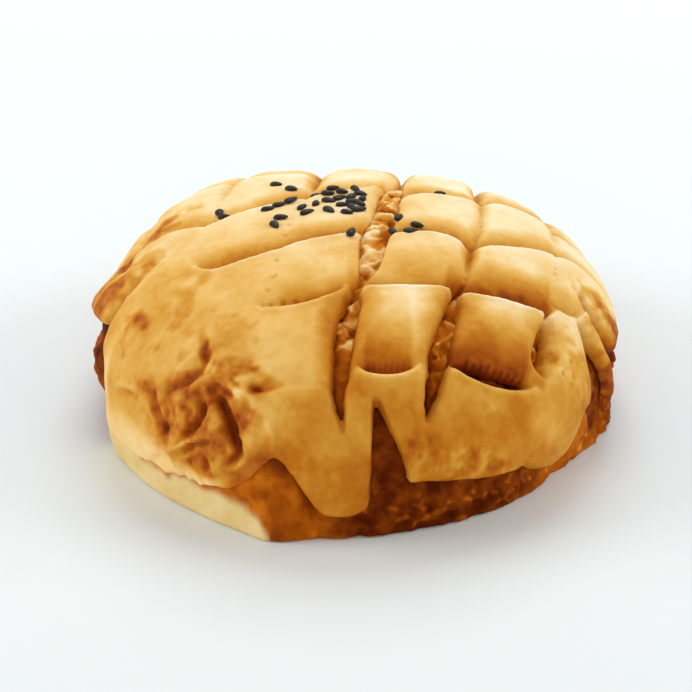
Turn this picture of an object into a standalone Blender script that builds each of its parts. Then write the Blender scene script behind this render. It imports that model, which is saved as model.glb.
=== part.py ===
# Pineapple bun: a round bread bun under a separately made, scored cookie-dough
# crust with black sesame seeds.  Lengths below are millimetres; the meshes are
# metres, +Z up, base on the floor at z = 0, the open score cuts facing -Y.
import bpy
import bmesh
import math
import numpy as np

# ---- overall form -----------------------------------------------------------
RADIUS = 55.3          # widest half-breadth of the dome
WIDEST = 14.7          # height of that level
RISE = 26.9            # dome above it
ROUNDNESS = 2.05       # superellipse exponent of the upper profile
FOOT_ROUND = 0.9       # rounding between side and flat underside
FOOT_BEND = 1.35       # how soon the side turns towards the foot
SKIN = 4.3             # crust thickness on top
SKIN_LOW = 2.3         # crust thickness near its lower edge
GAP = 0.5              # clearance between crust and bread
PLATE_SWELL = 0.7      # how far the middle of a plate stands over the dome
WEB = 0.9              # least crust left under a crease
LIP = 1.9              # roll of the crust's lower edge
SEAM = 0.8             # clearance between the crust's lower edge and bare bread
ROLL_FAR = 8.0         # shoulder of a cross score on its far side
ROLL_NEAR = 1.5        # shoulder of a cross score on its near side
ROLL_LONG = 3.0        # shoulder of a long score that has opened, either side
ROLL_SHUT = 4.6        # shoulder of a long score that has stayed shut

# radius of the foot on the floor, (azimuth deg, mm)
FOOT = [(-180, 53.0), (-172, 51.6), (-165, 51.6), (-159, 53.4), (-153, 55.0), (-147, 55.6), (-139, 55.9),
        (-125, 56.6), (-114, 58.0), (-107, 59.5), (-103, 58.6), (-97, 57.2),
        (-88, 56.2), (-75, 55.2), (-58, 54.6), (-48, 53.8), (-40, 52.8), (-28, 53.4),
        (-18, 56.4), (-8, 55.2), (0, 53.8), (60, 54.2), (120, 54.4), (150, 54.0),
        (180, 53.0)]

# height of the crust's lower edge, (azimuth deg, mm)
EDGE = [(-180, 19.6), (-177, 19.6), (-174, 20.6), (-170, 22.4), (-166, 22.0),
        (-163, 19.6), (-159, 18.0), (-157, 15.0), (-155, 7.0), (-153, 4.2), (-150, 3.8),
        (-138, 5.4), (-130, 6.2), (-123, 6.6), (-116, 7.2),
        (-112.5, 9.5), (-109, 14.0), (-107, 15.8), (-105.3, 15.4), (-102.6, 13.0),
        (-100.5, 10.5), (-98.5, 7.4), (-96.8, 5.4), (-93.7, 4.8), (-90.5, 4.8),
        (-87.5, 6.5), (-80, 11.3), (-75, 11.4), (-71, 10.4), (-62, 9.0), (-58.2, 8.4),
        (-54.6, 7.9), (-52.4, 8.8), (-50.2, 6.6), (-48.4, 5.8), (-44.2, 4.4),
        (-39.2, 3.4), (-36, 4.6), (-34, 12.0), (-30, 14.0), (-25, 12.0), (-23.4, 5.0),
        (-21, 3.0), (-18.6, 2.6), (-17, 4.0), (-15.3, 12.0), (-13.5, 17.5), (-8, 17.4),
        (0, 15.5), (9, 10.5), (18, 8.2), (27, 10.6), (37, 7.4), (47, 9.6), (59, 7.2),
        (71, 9.0), (83, 6.6), (96, 8.6), (108, 7.0), (121, 9.6), (134, 8.4), (146, 12.0),
        (157, 15.0), (167, 18.0), (173, 19.2), (180, 19.6)]

# broad swellings of the dome: peeled p, q, spread, height
SWELLS = [(-38.0, 34.0, 15.0, 1.9), (-24.0, 38.0, 12.0, 0.8), (38.0, 26.0, 12.0, 0.5),
          (-3.0, -66.0, 10.0, 0.9), (-20.0, -72.0, 9.0, 0.6), (0.0, 22.0, 26.0, -0.45),
          (20.0, 28.0, 9.0, -0.5), (-53.0, 12.0, 8.0, -1.1), (-61.5, 1.0, 6.0, 1.5),
          (-72.0, -8.0, 6.0, 1.3),
          (63.0, -13.0, 7.0, 1.1), (10.3, 34.0, 5.0, -1.5), (11.2, 46.0, 5.0, -1.8),
          (-8.4, 36.0, 4.5, -1.2), (-7.4, 46.0, 4.5, -1.4), (-69.0, -31.5, 5.5, 1.5)]

# ---- the scored pattern -----------------------------------------------------
# Every line is in peeled coordinates: distance from the apex along the crust,
# laid out flat.  Rows are p, q, depth of the crease, half-width cut through,
# and how high the torn bread stands in the cut over its bed.
LONG = [
    [(9.0, 66, 2.8, 0, 0), (11.6, 50, 3.0, 0, 0), (11.2, 35, 3.5, 0, 0),
     (9.9, 24, 3.5, 0.2, 2.0), (9.2, 20, 2.6, 1.3, 3.5), (7.4, 12.5, 2.2, 2.0, 4.0),
     (6.8, 5.5, 2.2, 2.2, 4.0), (5.7, -1, 2.4, 2.3, 3.9), (4.3, -5, 2.6, 2.5, 3.8),
     (3.6, -10, 2.6, 2.4, 3.7), (3.1, -15, 2.6, 1.9, 3.5), (2.4, -18.5, 2.6, 1.3, 3.0),
     (1.5, -21.5, 2.6, 0.7, 1.8), (0.0, -24.2, 2.6, 0.9, 1.4), (-0.4, -28, 2.6, 1.5, 1.8),
     (-1.6, -33, 2.6, 1.9, 1.8), (-2.3, -37, 2.6, 1.9, 1.5), (-2.7, -41, 2.6, 1.8, 1.1),
     (-3.2, -46, 2.6, 1.6, 0.8), (-3.7, -50, 2.4, 1.2, 0.6), (-3.3, -54, 2.2, 0.8, 0.4),
     (-2.6, -58, 0.8, 0.2, 0.2)],
    [(27.0, 62, 2.4, 0, 0), (28.8, 46, 2.6, 0, 0), (28.2, 33, 3.0, 0, 0),
     (27.1, 20.5, 2.8, 0, 0), (27.4, 13, 1.2, 0, 0), (26.6, 3, 1.5, 0, 0),
     (24.9, -4.5, 2.6, 0, 0), (24.0, -8, 2.9, 0, 0), (23.4, -12, 2.6, 0, 0),
     (22.9, -17, 2.0, 0, 0), (22.1, -20.8, 2.4, 0.15, 1.0), (20.5, -23, 2.4, 0.5, 1.4),
     (20.2, -26, 2.6, 0.9, 1.7), (19.5, -30, 2.6, 1.2, 1.9), (18.6, -33.5, 2.6, 1.6, 1.8),
     (17.6, -37, 2.6, 1.9, 1.6), (17.2, -40.5, 2.6, 2.1, 1.2), (16.8, -44, 2.6, 1.8, 0.9),
     (16.2, -48, 2.4, 1.4, 0.7), (15.7, -52, 2.2, 0.8, 0.5), (15.2, -55, 0.8, 0.2, 0.3)],
    [(39.0, 52, 2.0, 0, 0), (43.0, 36, 2.0, 0, 0), (44.0, 20, 1.6, 0, 0),
     (43.6, -2.0, 0.7, 0, 0), (42.1, -10.4, 0.7, 0, 0), (41.2, -17, 1.0, 0, 0),
     (40.6, -22.5, 1.8, 0.2, 0.8), (39.9, -27, 2.4, 0.7, 1.2), (39.3, -31, 2.6, 1.0, 1.2),
     (38.7, -35, 2.6, 1.1, 1.0), (38.8, -37, 1.8, 0.7, 0.8), (40.6, -38.4, 0.9, 0.2, 0.5)],
    [(48.2, -19.6, 1.2, 0.3, 0), (50.2, -21.4, 2.2, 0.7, 0),
            (52.6, -23.7, 2.4, 1.6, 0), (54.9, -25.4, 2.4, 2.8, 0),
            (57.6, -26.8, 2.4, 3.9, 0), (60.2, -27.9, 2.4, 4.8, 0),
            (64, -28.9, 2.2, 5.6, 0), (70, -28.6, 2.2, 5.8, 0), (77, -31.5, 2.2, 5.8, 0)],
    [(48.6, -10.8, 1.2, 0.3, 0), (50.0, -12.6, 2.2, 0.5, 0),
            (52.7, -15.3, 2.4, 0.7, 0), (56, -17.0, 2.4, 0.9, 0),
            (59, -18.0, 2.4, 0.8, 0), (62, -17.6, 2.4, 1.2, 0), (65.5, -16.0, 2.2, 2.0, 0),
            (70, -14.0, 2.2, 3.2, 0), (77, -12, 2.2, 4.4, 0)],
    [(-2.0, 64, 2.4, 0, 0), (-5.6, 50, 2.6, 0, 0), (-7.8, 37, 3.2, 0, 0),
     (-8.4, 23, 2.8, 0, 0), (-9.5, 14, 0.8, 0, 0), (-13.4, -0.3, 0.5, 0, 0),
     (-16.3, -19.5, 0.5, 0, 0), (-19.4, -31.8, 0.3, 0, 0)],
    [(-16.0, 62, 2.2, 0, 0), (-20.5, 48, 2.2, 0, 0), (-25.5, 33, 1.8, 0, 0),
     (-29.5, 17, 0.9, 0, 0), (-32.1, 2.9, 0.7, 0, 0), (-34.6, -14.9, 0.3, 0, 0)],
    [(-38.0, 48, 2.0, 0, 0), (-44.5, 31, 1.8, 0, 0), (-49.0, 14, 1.4, 0, 0),
     (-51.0, 2, 1.1, 0, 0)],
    [(-39.5, -0.3, 1.0, 0, 0), (-42.5, -4.0, 1.5, 0, 0), (-46.5, -6.6, 1.7, 0, 0),
            (-50.5, -9.6, 2.0, 0.1, 0), (-54.0, -11.3, 2.4, 0.5, 0), (-57.0, -12.8, 2.4, 1.0, 0),
            (-60.0, -14.4, 2.4, 1.6, 0)],
]
SIDE_TEARS = (3, 4)    # the long scores that tear wide open down the right side
CROSS = [
    [(-19.8, -48.1, 0.3, 0, 0), (-12.5, -48.3, 0.4, 0, 0), (-5.4, -49.2, 0.3, 0, 0)],
    [(1.4, -45.2, 1.6, 0, 0), (3.0, -45.9, 2.6, 0, 0), (6, -46.2, 2.8, 0, 0),
            (9, -45.8, 2.6, 0, 0), (11.8, -44.4, 1.4, 0, 0)],
    [(20.3, -42.4, 2.0, 0.3, 0.8), (22.5, -43.0, 2.6, 0.8, 0.8),
            (26, -43.5, 2.8, 1.1, 0.8), (30, -43.4, 2.8, 1.1, 0.8),
            (34, -42.9, 2.6, 0.7, 0.8), (37.2, -42.0, 1.4, 0.2, 0.8)],
    [(-18, -28.6, 1.2, 0, 0), (-13, -28.9, 2.0, 0, 0), (-8, -27.9, 2.2, 0, 0),
            (-4.5, -26.3, 2.2, 0, 0), (-2.5, -24.6, 1.8, 0, 0)],
    [(1.8, -24.2, 2.2, 0, 0), (6, -23.9, 2.3, 0, 0), (12, -23.5, 2.4, 0, 0),
            (18, -22.6, 2.5, 0, 0), (20, -22.3, 2.5, 0, 0)],
    [(22.2, -23.2, 2.9, 0, 0), (26, -22.8, 3.1, 0, 0), (32, -22.6, 3.1, 0, 0),
            (37, -22.5, 2.9, 0, 0), (40, -22.3, 2.2, 0, 0), (41.5, -21, 1.4, 0, 0)],
    [(41.0, -18.6, 1.6, 0, 0), (42.5, -19.7, 2.2, 0, 0), (45, -19.8, 2.3, 0, 0),
            (48, -18.2, 2.0, 0, 0), (49.4, -15.5, 1.3, 0, 0), (52, -11, 0.8, 0, 0),
            (60, -5.5, 0.6, 0, 0)],
    [(-34, -8, 0.6, 0, 0), (-32.2, -11.5, 1.5, 0, 0), (-29.5, -13.9, 2.1, 0, 0),
            (-26.5, -13.8, 2.3, 0, 0), (-22, -12.4, 2.3, 0, 0), (-16, -10.9, 2.4, 0, 0),
            (-10, -8.4, 2.4, 0, 0), (-4, -6.8, 2.4, 0, 0), (1, -5.2, 2.2, 0, 0)],
    [(7.5, -6.2, 1.8, 0, 0), (11, -5.2, 2.2, 0, 0), (14.5, -4.3, 2.3, 0, 0),
            (18, -4.6, 2.4, 0, 0), (21.5, -5.8, 2.5, 0, 0), (22.8, -7.2, 2.0, 0, 0)],
    [(25.8, -6.8, 2.2, 0, 0), (28, -5.3, 2.4, 0, 0), (32, -3.9, 2.5, 0, 0),
            (36, -2.2, 2.4, 0, 0), (40, -0.8, 2.2, 0, 0), (44, 0.6, 1.7, 0, 0),
            (49, 2, 1.1, 0, 0), (60, 0, 0.9, 0, 0)],
    [(-54, 8.0, 1.0, 0, 0), (-47, 6.5, 1.4, 0, 0), (-42, 7.5, 1.7, 0, 0),
            (-38, 7.4, 1.7, 0, 0), (-34, 5.4, 1.9, 0, 0), (-30, 5.3, 2.0, 0, 0),
            (-26, 7.3, 2.1, 0, 0), (-20, 9.2, 2.2, 0, 0), (-13, 11.5, 2.3, 0, 0),
            (-8, 13.2, 2.1, 0, 0), (-3, 15.2, 1.9, 0, 0), (3, 17.5, 1.5, 0, 0)],
    [(9.5, 11.5, 1.7, 0, 0), (12, 13.2, 2.1, 0, 0), (15, 15.2, 2.3, 0, 0),
            (20, 16.3, 2.1, 0, 0), (24.5, 16, 2.0, 0, 0), (27.3, 15, 2.0, 0, 0),
            (30, 17, 2.1, 0, 0), (34, 18.3, 2.2, 0, 0), (38, 17.6, 2.2, 0, 0),
            (41, 16.2, 2.1, 0, 0), (44, 13.5, 1.7, 0, 0), (50.5, 12, 1.5, 0, 0),
            (60, 13, 1.3, 0, 0)],
    [(-50, 25, 1.4, 0, 0), (-37, 27.5, 2.0, 0, 0), (-20, 30.5, 2.2, 0, 0),
            (-4, 34, 2.2, 0, 0), (13, 37, 2.2, 0, 0), (29, 38.5, 2.2, 0, 0),
            (44, 36, 1.9, 0, 0), (55, 30, 1.4, 0, 0)],
    [(-48, 44, 1.4, 0, 0), (-30, 50, 1.9, 0, 0), (-10, 53, 2.0, 0, 0),
            (10, 56, 2.0, 0, 0), (30, 55, 1.9, 0, 0), (46, 48, 1.4, 0, 0)],
]
# the wedge where the crust has pulled apart down to its lower edge
WEDGE = [(4.3, -52, 1.6, 0.3, 0), (4.9, -55, 2.0, 1.1, 0), (5.6, -58, 2.0, 1.8, 0),
         (6.4, -61, 2.0, 2.6, 0), (7.2, -64, 2.0, 3.3, 0), (8.0, -67, 2.0, 4.1, 0),
         (8.4, -70, 2.0, 4.6, 0), (9.5, -75, 2.0, 5.4, 0), (10.5, -80, 2.0, 6.0, 0)]

# ---- the torn, crumpled front-left side -------------------------------------
CRUMPLE = (-36.0, -50.5, 17.5, 14.0)      # peeled centre and half-breadths
# crevices and thin raised curls: p, q, depth (a curl is negative), half-width
FOLDS = [
    [(-29.6, -46.3, 1.0, 1.1), (-27.7, -49, 1.9, 1.25), (-27.0, -53, 2.5, 1.35),
     (-26.6, -57, 2.5, 1.35), (-27.2, -59.8, 2.3, 1.25), (-30.0, -60.6, 1.4, 1.0)],
    [(-40, -41.2, 0.8, 0.9), (-36, -41.8, 1.0, 1.0), (-32, -41.6, 1.1, 1.1),
     (-30.2, -38.5, 0.9, 1.0), (-31, -34, 0.6, 0.9), (-31.2, -31.5, 0.2, 0.8)],
    [(-42, -52, 0.9, 0.8), (-38, -51.6, 1.2, 0.9), (-34, -50.6, 1.4, 1.1),
     (-32.8, -47.5, 1.4, 1.1), (-33.5, -45.5, 0.5, 0.9)],
    [(-42, -54.6, 0.6, 0.7), (-38, -54.4, 1.0, 0.8), (-34, -55.0, 0.8, 0.8)],
    [(-36.8, -56.8, 0.9, 1.0), (-36, -58.5, 1.2, 1.1), (-37.5, -60.5, 0.9, 1.0)],
    [(-20.8, -47.6, 1.0, 0.9), (-18.5, -48.5, 0.6, 0.8), (-15, -48.4, 0.2, 0.7)],
    [(-45, -38.5, 0.5, 1.2), (-45.2, -44, 0.9, 1.3), (-44.6, -48, 0.9, 1.3)],
    [(-56, -51, 0.3, 1.0), (-52, -51.8, 0.7, 1.1), (-47.5, -50.8, 0.7, 1.0)],
    [(-24.8, -51.8, 0.7, 0.8), (-22.2, -51.8, 0.6, 0.8)],
    [(-17, -64.5, 0.5, 0.8), (-19.5, -62, 0.8, 0.9), (-21.5, -61, 0.6, 0.9)],
    [(-55, -33.2, 0.3, 0.9), (-52, -35.6, 0.7, 0.9), (-50, -38, 0.4, 0.8)],
    [(-33.2, -42.8, -0.4, 0.6), (-29.5, -43.6, -0.9, 0.65), (-27.5, -44.6, -0.8, 0.65),
     (-25.6, -46.2, -1.0, 0.7), (-24, -48.3, -1.1, 0.7), (-22, -49.8, -1.0, 0.7),
     (-20.6, -50.4, -0.5, 0.6)],
    [(-39.5, -44.2, -0.3, 0.6), (-37, -45, -0.6, 0.65), (-34.8, -44.6, -0.4, 0.6)],
    [(-51.5, -51, -0.4, 0.6), (-47.5, -52, -0.7, 0.7), (-43, -52.9, -0.8, 0.65),
     (-38, -53.2, -1.0, 0.65), (-33.2, -54, -0.6, 0.6)],
    [(-18.8, -54.5, -0.3, 0.7), (-17.2, -57.5, -0.6, 0.7), (-18, -60.5, -0.4, 0.7)],
    [(-30.5, -62.2, -0.4, 0.7), (-28, -62, -0.8, 0.7), (-25.5, -61.4, -0.4, 0.6)],
    [(-55, -31.5, -0.3, 0.7), (-51.5, -34.3, -0.6, 0.7), (-49.5, -36.6, -0.4, 0.7)],
]

# ---- black sesame seeds: peeled p, q and heading in degrees -----------------
SEED_LONG = 3.1
SEED_WIDE = 1.75
SEED_HIGH = 1.15
SEEDS = [(-16.9, 21.9, -35), (-13.5, 17.9, -40), (-11.4, 12.0, 20), (-18.8, 10.4, 12),
         (-15.9, 8.2, 20), (-18.2, 6.4, 8), (-13.4, 10.0, 40), (-11.0, 7.0, 55),
         (-15.3, 1.5, -5), (-16.5, -1.6, -65), (-8.1, 7.5, 85), (-7.8, 14.6, 15),
         (-4.6, 17.6, 20), (-5.6, 12.4, -10), (-5.4, 8.4, -30), (-2.6, 5.6, 10),
         (-5.3, 3.2, -50), (-1.9, 16.0, 45), (-2.6, 13.0, -25), (-3.2, 9.7, 35),
         (0.2, 14.6, -60), (1.3, 12.0, -30), (-0.6, 10.3, 60), (1.7, 9.0, 75),
         (-0.3, 7.4, 5), (1.2, 6.2, -45), (-0.6, 4.4, -70), (0.9, 3.2, 15),
         (-1.6, 1.9, -20), (-0.7, -7.2, 75), (9.2, 1.2, 70), (7.9, -5.0, -65),
         (11.4, -5.9, 15), (12.9, -2.0, -15), (18.3, 15.6, 35), (-28.9, 10.6, -80),
         (-27.5, 6.3, -15), (-9.9, 3.4, 30)]

# ---- mesh resolution --------------------------------------------------------
AROUND = 320
DOWN = 88
CRUST_TRIS = 8000
BREAD_TRIS = 3200

MM = 0.001


def clear_scene():
    for item in list(bpy.data.objects):
        bpy.data.objects.remove(item, do_unlink=True)


# ---- profile of the dome: radius and height by distance from the apex -------
def make_profile():
    turn = np.linspace(0.0, np.pi / 2, 1201)
    rad = RADIUS * np.sin(turn) ** (2.0 / ROUNDNESS)
    high = WIDEST + RISE * np.cos(turn) ** (2.0 / ROUNDNESS)
    fall = np.linspace(0.0, 2.0, 401)[1:]
    rad = np.append(rad, np.full(fall.shape, RADIUS))
    high = np.append(high, WIDEST * (1.0 - fall))
    run = np.append(0.0, np.cumsum(np.hypot(np.diff(rad), np.diff(high))))
    return run, rad, high


RUN, RAD, HIGH = make_profile()
RUN_END = float(np.interp(0.0, -HIGH, RUN))


def by_azimuth(table, azimuth):
    """Smoothed table of (azimuth, value), repeated round the circle."""
    deg = np.degrees(azimuth)
    deg = (deg + 180.0) % 360.0 - 180.0
    xs = [a for a, _ in table]
    ys = [v for _, v in table]
    total = 0.0
    for shift in (-1.2, -0.6, 0.0, 0.6, 1.2):
        at = (deg + shift + 180.0) % 360.0 - 180.0
        total = total + np.interp(at, xs, ys)
    return total / 5.0


def run_at_height(z):
    """Distance from the apex at which the side of the dome has height z."""
    return np.interp(-z, -HIGH, RUN)


def place(azimuth, run, lift):
    """Point on the dome (or lift above it), with the foot drawn in or out."""
    rad = np.interp(run, RUN, RAD)
    high = np.interp(run, RUN, HIGH)
    step = 0.4
    ahead = np.interp(run + step, RUN, RAD)
    behind = np.interp(run - step, RUN, RAD)
    up = np.interp(run + step, RUN, HIGH)
    down = np.interp(run - step, RUN, HIGH)
    length = np.maximum(np.hypot(ahead - behind, up - down), 1e-6)
    out_r = np.where(run < step, 0.0, (down - up) / length)
    out_z = np.where(run < step, 1.0, (ahead - behind) / length)
    low = np.clip((WIDEST - high) / WIDEST, 0.0, 1.0)
    foot = by_azimuth(FOOT, azimuth)
    rad = rad + (foot - RADIUS) * low ** FOOT_BEND + lift * out_r
    high = high + lift * out_z
    return np.stack([rad * np.cos(azimuth), rad * np.sin(azimuth), high], -1)


# ---- distance to score lines -------------------------------------------------
def smooth_line(line):
    """Corner-cut version of a traced line, so the score bends without corners."""
    rows = np.array(line, float)
    for _ in range(2):
        cut_a = rows[:-1] * 0.75 + rows[1:] * 0.25
        cut_b = rows[:-1] * 0.25 + rows[1:] * 0.75
        mid = np.stack([cut_a, cut_b], 1).reshape(-1, rows.shape[1])
        rows = np.vstack([rows[:1], mid[1:-1], rows[-1:]])
    return rows


def near_line(line, p, q):
    """Distance to a line, the line's own values at the nearest point, and the
    side: 1 nearer to the viewer of the cuts, -1 beyond."""
    rows = smooth_line(line)
    best = np.full(p.shape, 1e9)
    values = [np.zeros(p.shape) for _ in range(rows.shape[1] - 2)]
    side = np.ones(p.shape)
    for start, end in zip(rows[:-1], rows[1:]):
        (ap, aq), (bp, bq) = start[:2], end[:2]
        vp, vq = bp - ap, bq - aq
        t = np.clip(((p - ap) * vp + (q - aq) * vq) / (vp * vp + vq * vq), 0.0, 1.0)
        d = np.hypot(p - ap - t * vp, q - aq - t * vq)
        closer = d < best
        best = np.where(closer, d, best)
        values = [np.where(closer, a + t * (b - a), old)
                  for old, a, b in zip(values, start[2:], end[2:])]
        turn = (vp * (q - aq) - vq * (p - ap)) * (1.0 if vp > 0 else -1.0)
        side = np.where(closer, np.where(turn < 0, 1.0, -1.0), side)
    return best, values, side


def roll(x):
    """Round shoulder: 1 at the line, 0 beyond the shoulder, steep at the line."""
    x = np.clip(x, 0.0, 1.0)
    x = np.sqrt(x * x + 0.003) - 0.0548
    return 1.0 - np.sqrt(np.clip(1.0 - (1.0 - x) ** 2, 0.0, 1.0))


def ease(x):
    x = np.clip(x, 0.0, 1.0)
    return x * x * (3 - 2 * x)


def crease_depth(p, q):
    """How far the scores sink the crust, less the lip on the near side of each."""
    deep = np.zeros(p.shape)
    lip = np.zeros(p.shape)
    for line in LONG + [WEDGE]:
        d, (depth, half, _), _ = near_line(line, p, q)
        shoulder = np.where(half > 0.1, ROLL_LONG, ROLL_SHUT)
        shoulder = 1.5 if line is WEDGE else shoulder
        deep = np.maximum(deep, depth * roll((d - half) / shoulder))
    for line in CROSS:
        d, (depth, half, _), side = near_line(line, p, q)
        near = side > 0
        deep = np.maximum(deep, depth * roll((d - half) / np.where(near, ROLL_NEAR, ROLL_FAR)))
        beside = np.clip(d - half, 0, 99)
        lip = np.maximum(lip, np.where(near, 0.45, 0.0) * np.clip(depth / 2.4, 0, 1.2)
                         * np.exp(-((beside - 1.1) / 0.75) ** 2))
    return deep - lip


def crumple_weight(p, q):
    cp, cq, wide, tall = CRUMPLE
    far = np.hypot((p - cp) / wide, (q - cq) / tall)
    return 1.0 / (1.0 + np.exp((far - 0.95) / 0.09))


def fold_relief(p, q):
    """Folds and crevices of the crumpled side, plus small uneven waves."""
    high = np.zeros(p.shape)
    for line in FOLDS:
        d, (depth, half), _ = near_line(line, p, q)
        high = high - depth * np.exp(-(d / np.maximum(half, 0.8)) ** 2)
    wave = np.sin(p * 0.95 + 1.7 * np.sin(q * 0.55)) * np.sin(q * 0.8 + 1.3)
    return high + 0.5 * wave * crumple_weight(p, q)


def swell(p, q):
    high = np.zeros(p.shape)
    for sp, sq, spread, tall in SWELLS:
        high = high + tall * np.exp(-((p - sp) ** 2 + (q - sq) ** 2) / spread ** 2)
    return high


def skin_thickness(run):
    return SKIN + (SKIN_LOW - SKIN) * ease((run - 48.0) / 24.0)


def bed(azimuth, run):
    """Top of the bread under the crust, as lift over the dome."""
    p, q = run * np.cos(azimuth), run * np.sin(azimuth)
    return swell(p, q) - skin_thickness(run)


def soft_side(azimuth):
    """1 along the pale front-left foot, where crust and bread lie flush."""
    deg = np.degrees(azimuth)
    return ease((deg + 157.0) / 5.0) * ease((-98.0 - deg) / 5.0)


def crust_top(azimuth, run):
    p, q = run * np.cos(azimuth), run * np.sin(azimuth)
    top = swell(p, q) + PLATE_SWELL - crease_depth(p, q) + fold_relief(p, q)
    edge = run_at_height(by_azimuth(EDGE, azimuth))
    top = top - 0.6 * soft_side(azimuth) * ease((run - edge + 9.0) / 9.0)
    into = np.clip((run - (edge - LIP)) / LIP, 0.0, 1.0)
    floor = bed(azimuth, run) + GAP + WEB
    top = np.maximum(top, floor)
    return floor - 0.2 + (top - floor + 0.2) * np.sqrt(np.clip(1.0 - into ** 2, 0.0, 1.0))


def bread_top(azimuth, run):
    """Bare bread: rough low band, pale flush foot, crumb swelling in the cuts."""
    p, q = run * np.cos(azimuth), run * np.sin(azimuth)
    lift = bed(azimuth, run)
    high = np.interp(run, RUN, HIGH)
    turn = math.radians(1.6)
    edge = np.minimum(by_azimuth(EDGE, azimuth - turn), by_azimuth(EDGE, azimuth + turn))
    edge = np.minimum(edge, by_azimuth(EDGE, azimuth))
    flush = soft_side(azimuth)
    lobe = ease((np.abs(np.degrees(azimuth)) - 158.0) / 6.0)
    bare = ease((edge - SEAM - 4.5 * lobe - high) / (4.0 - 2.6 * flush - 1.5 * lobe))
    hollow = np.zeros(p.shape)
    for number in SIDE_TEARS:
        d, (_, half, _), _ = near_line(LONG[number], p, q)
        hollow = np.maximum(hollow, ease(half + 0.6 - d) * (half > 0.12))
    bare = bare * (1.0 - hollow * ease((high - 0.5) / 4.0))
    rough = np.sin(p * 1.1 + 0.9 * np.sin(q * 0.7)) * np.sin(high * 1.3 + 0.5 * p)
    lift = lift + bare * (SKIN_LOW - 0.3 + 0.65 * flush + 0.3 * rough * (1.0 - flush))
    for line in LONG:
        d, (_, half, rise), _ = near_line(line, p, q)
        room = np.clip(half - 0.7, 0.05, 9.0)
        crumb = np.clip(1.0 - (d / room) ** 4, 0.0, 1.0) * (half > 0.9)
        lift = lift + crumb * rise * (0.9 + 0.12 * np.sin(p * 1.9 + q * 2.3))
    return lift


# ---- closed solids -----------------------------------------------------------
def solid(name, verts, faces, colour, roughness):
    mesh = bpy.data.meshes.new(name)
    mesh.from_pydata([tuple(v) for v in verts * MM], [], faces)
    bm = bmesh.new()
    bm.from_mesh(mesh)
    bmesh.ops.triangulate(bm, faces=bm.faces[:])
    bmesh.ops.recalc_face_normals(bm, faces=bm.faces[:])
    bm.to_mesh(mesh)
    bm.free()
    obj = bpy.data.objects.new(name, mesh)
    bpy.context.scene.collection.objects.link(obj)
    if colour is not None:
        mat = bpy.data.materials.new(name + "_surface")
        mat.use_nodes = True
        surface = mat.node_tree.nodes["Principled BSDF"]
        surface.inputs["Base Color"].default_value = colour
        surface.inputs["Roughness"].default_value = roughness
        surface.inputs["Metallic"].default_value = 0.0
        mesh.materials.append(mat)
    for face in mesh.polygons:
        face.use_smooth = True
    return obj


def ring_faces(first, second, flip):
    """Quads between two rings of AROUND points given by their first index."""
    quads = []
    for k in range(AROUND):
        n = (k + 1) % AROUND
        quad = (first + k, first + n, second + n, second + k)
        quads.append(quad[::-1] if flip else quad)
    return quads


def fan_faces(tip, ring, flip):
    tris = []
    for k in range(AROUND):
        n = (k + 1) % AROUND
        tri = (tip, ring + k, ring + n)
        tris.append(tri[::-1] if flip else tri)
    return tris


def polar_sheet(last_run, lift_of):
    """Apex point, then DOWN rings of AROUND points out to last_run(azimuth)."""
    azimuth = np.radians(np.arange(AROUND) * 360.0 / AROUND - 180.0)
    share = (np.arange(DOWN) + 1.0) / DOWN
    share = 1.0 - (1.0 - share) ** 1.12
    run = share[:, None] * last_run(azimuth)[None, :]
    az = np.broadcast_to(azimuth[None, :], run.shape)
    points = place(az, run, lift_of(az, run)).reshape(-1, 3)
    tip = place(np.zeros(1), np.zeros(1), lift_of(np.zeros(1), np.zeros(1)))
    return np.vstack([tip, points])


def sheet_faces(start, flip):
    faces = fan_faces(start, start + 1, flip)
    for row in range(DOWN - 1):
        faces += ring_faces(start + 1 + row * AROUND, start + 1 + (row + 1) * AROUND, not flip)
    return faces


def build_crust():
    def edge_run(azimuth):
        return run_at_height(by_azimuth(EDGE, azimuth))

    outer = polar_sheet(edge_run, crust_top)
    inner = polar_sheet(edge_run, lambda az, run: bed(az, run) + GAP)
    count = len(outer)
    faces = sheet_faces(0, False) + sheet_faces(count, True)
    last = 1 + (DOWN - 1) * AROUND
    faces += ring_faces(last, count + last, True)
    colour = (0.715, 0.376, 0.078, 1.0)
    return solid("cookie_crust", np.vstack([outer, inner]), faces, colour, 0.45)


def build_bread():
    top = polar_sheet(lambda azimuth: 0.0 * azimuth + RUN_END - FOOT_ROUND, bread_top)
    azimuth = np.radians(np.arange(AROUND) * 360.0 / AROUND - 180.0)
    last = top[-AROUND:]
    reach = np.hypot(last[:, 0], last[:, 1])
    rings = []
    for turn in (0.35, 0.7, 1.0):
        angle = turn * math.pi / 2
        rad = reach - FOOT_ROUND * (1.0 - math.cos(angle))
        z = last[:, 2] * (1.0 - math.sin(angle))
        rings.append(np.stack([rad * np.cos(azimuth), rad * np.sin(azimuth), z], -1))
    base = np.array([[0.0, 0.0, 0.0]])
    verts = np.vstack([top] + rings + [base])
    faces = sheet_faces(0, False)
    row = 1 + (DOWN - 1) * AROUND
    for _ in rings:
        faces += ring_faces(row, row + AROUND, True)
        row += AROUND
    faces += fan_faces(row + AROUND, row, True)
    colour = (0.262, 0.077, 0.012, 1.0)
    return solid("bread", verts, faces, colour, 0.7)


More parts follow.
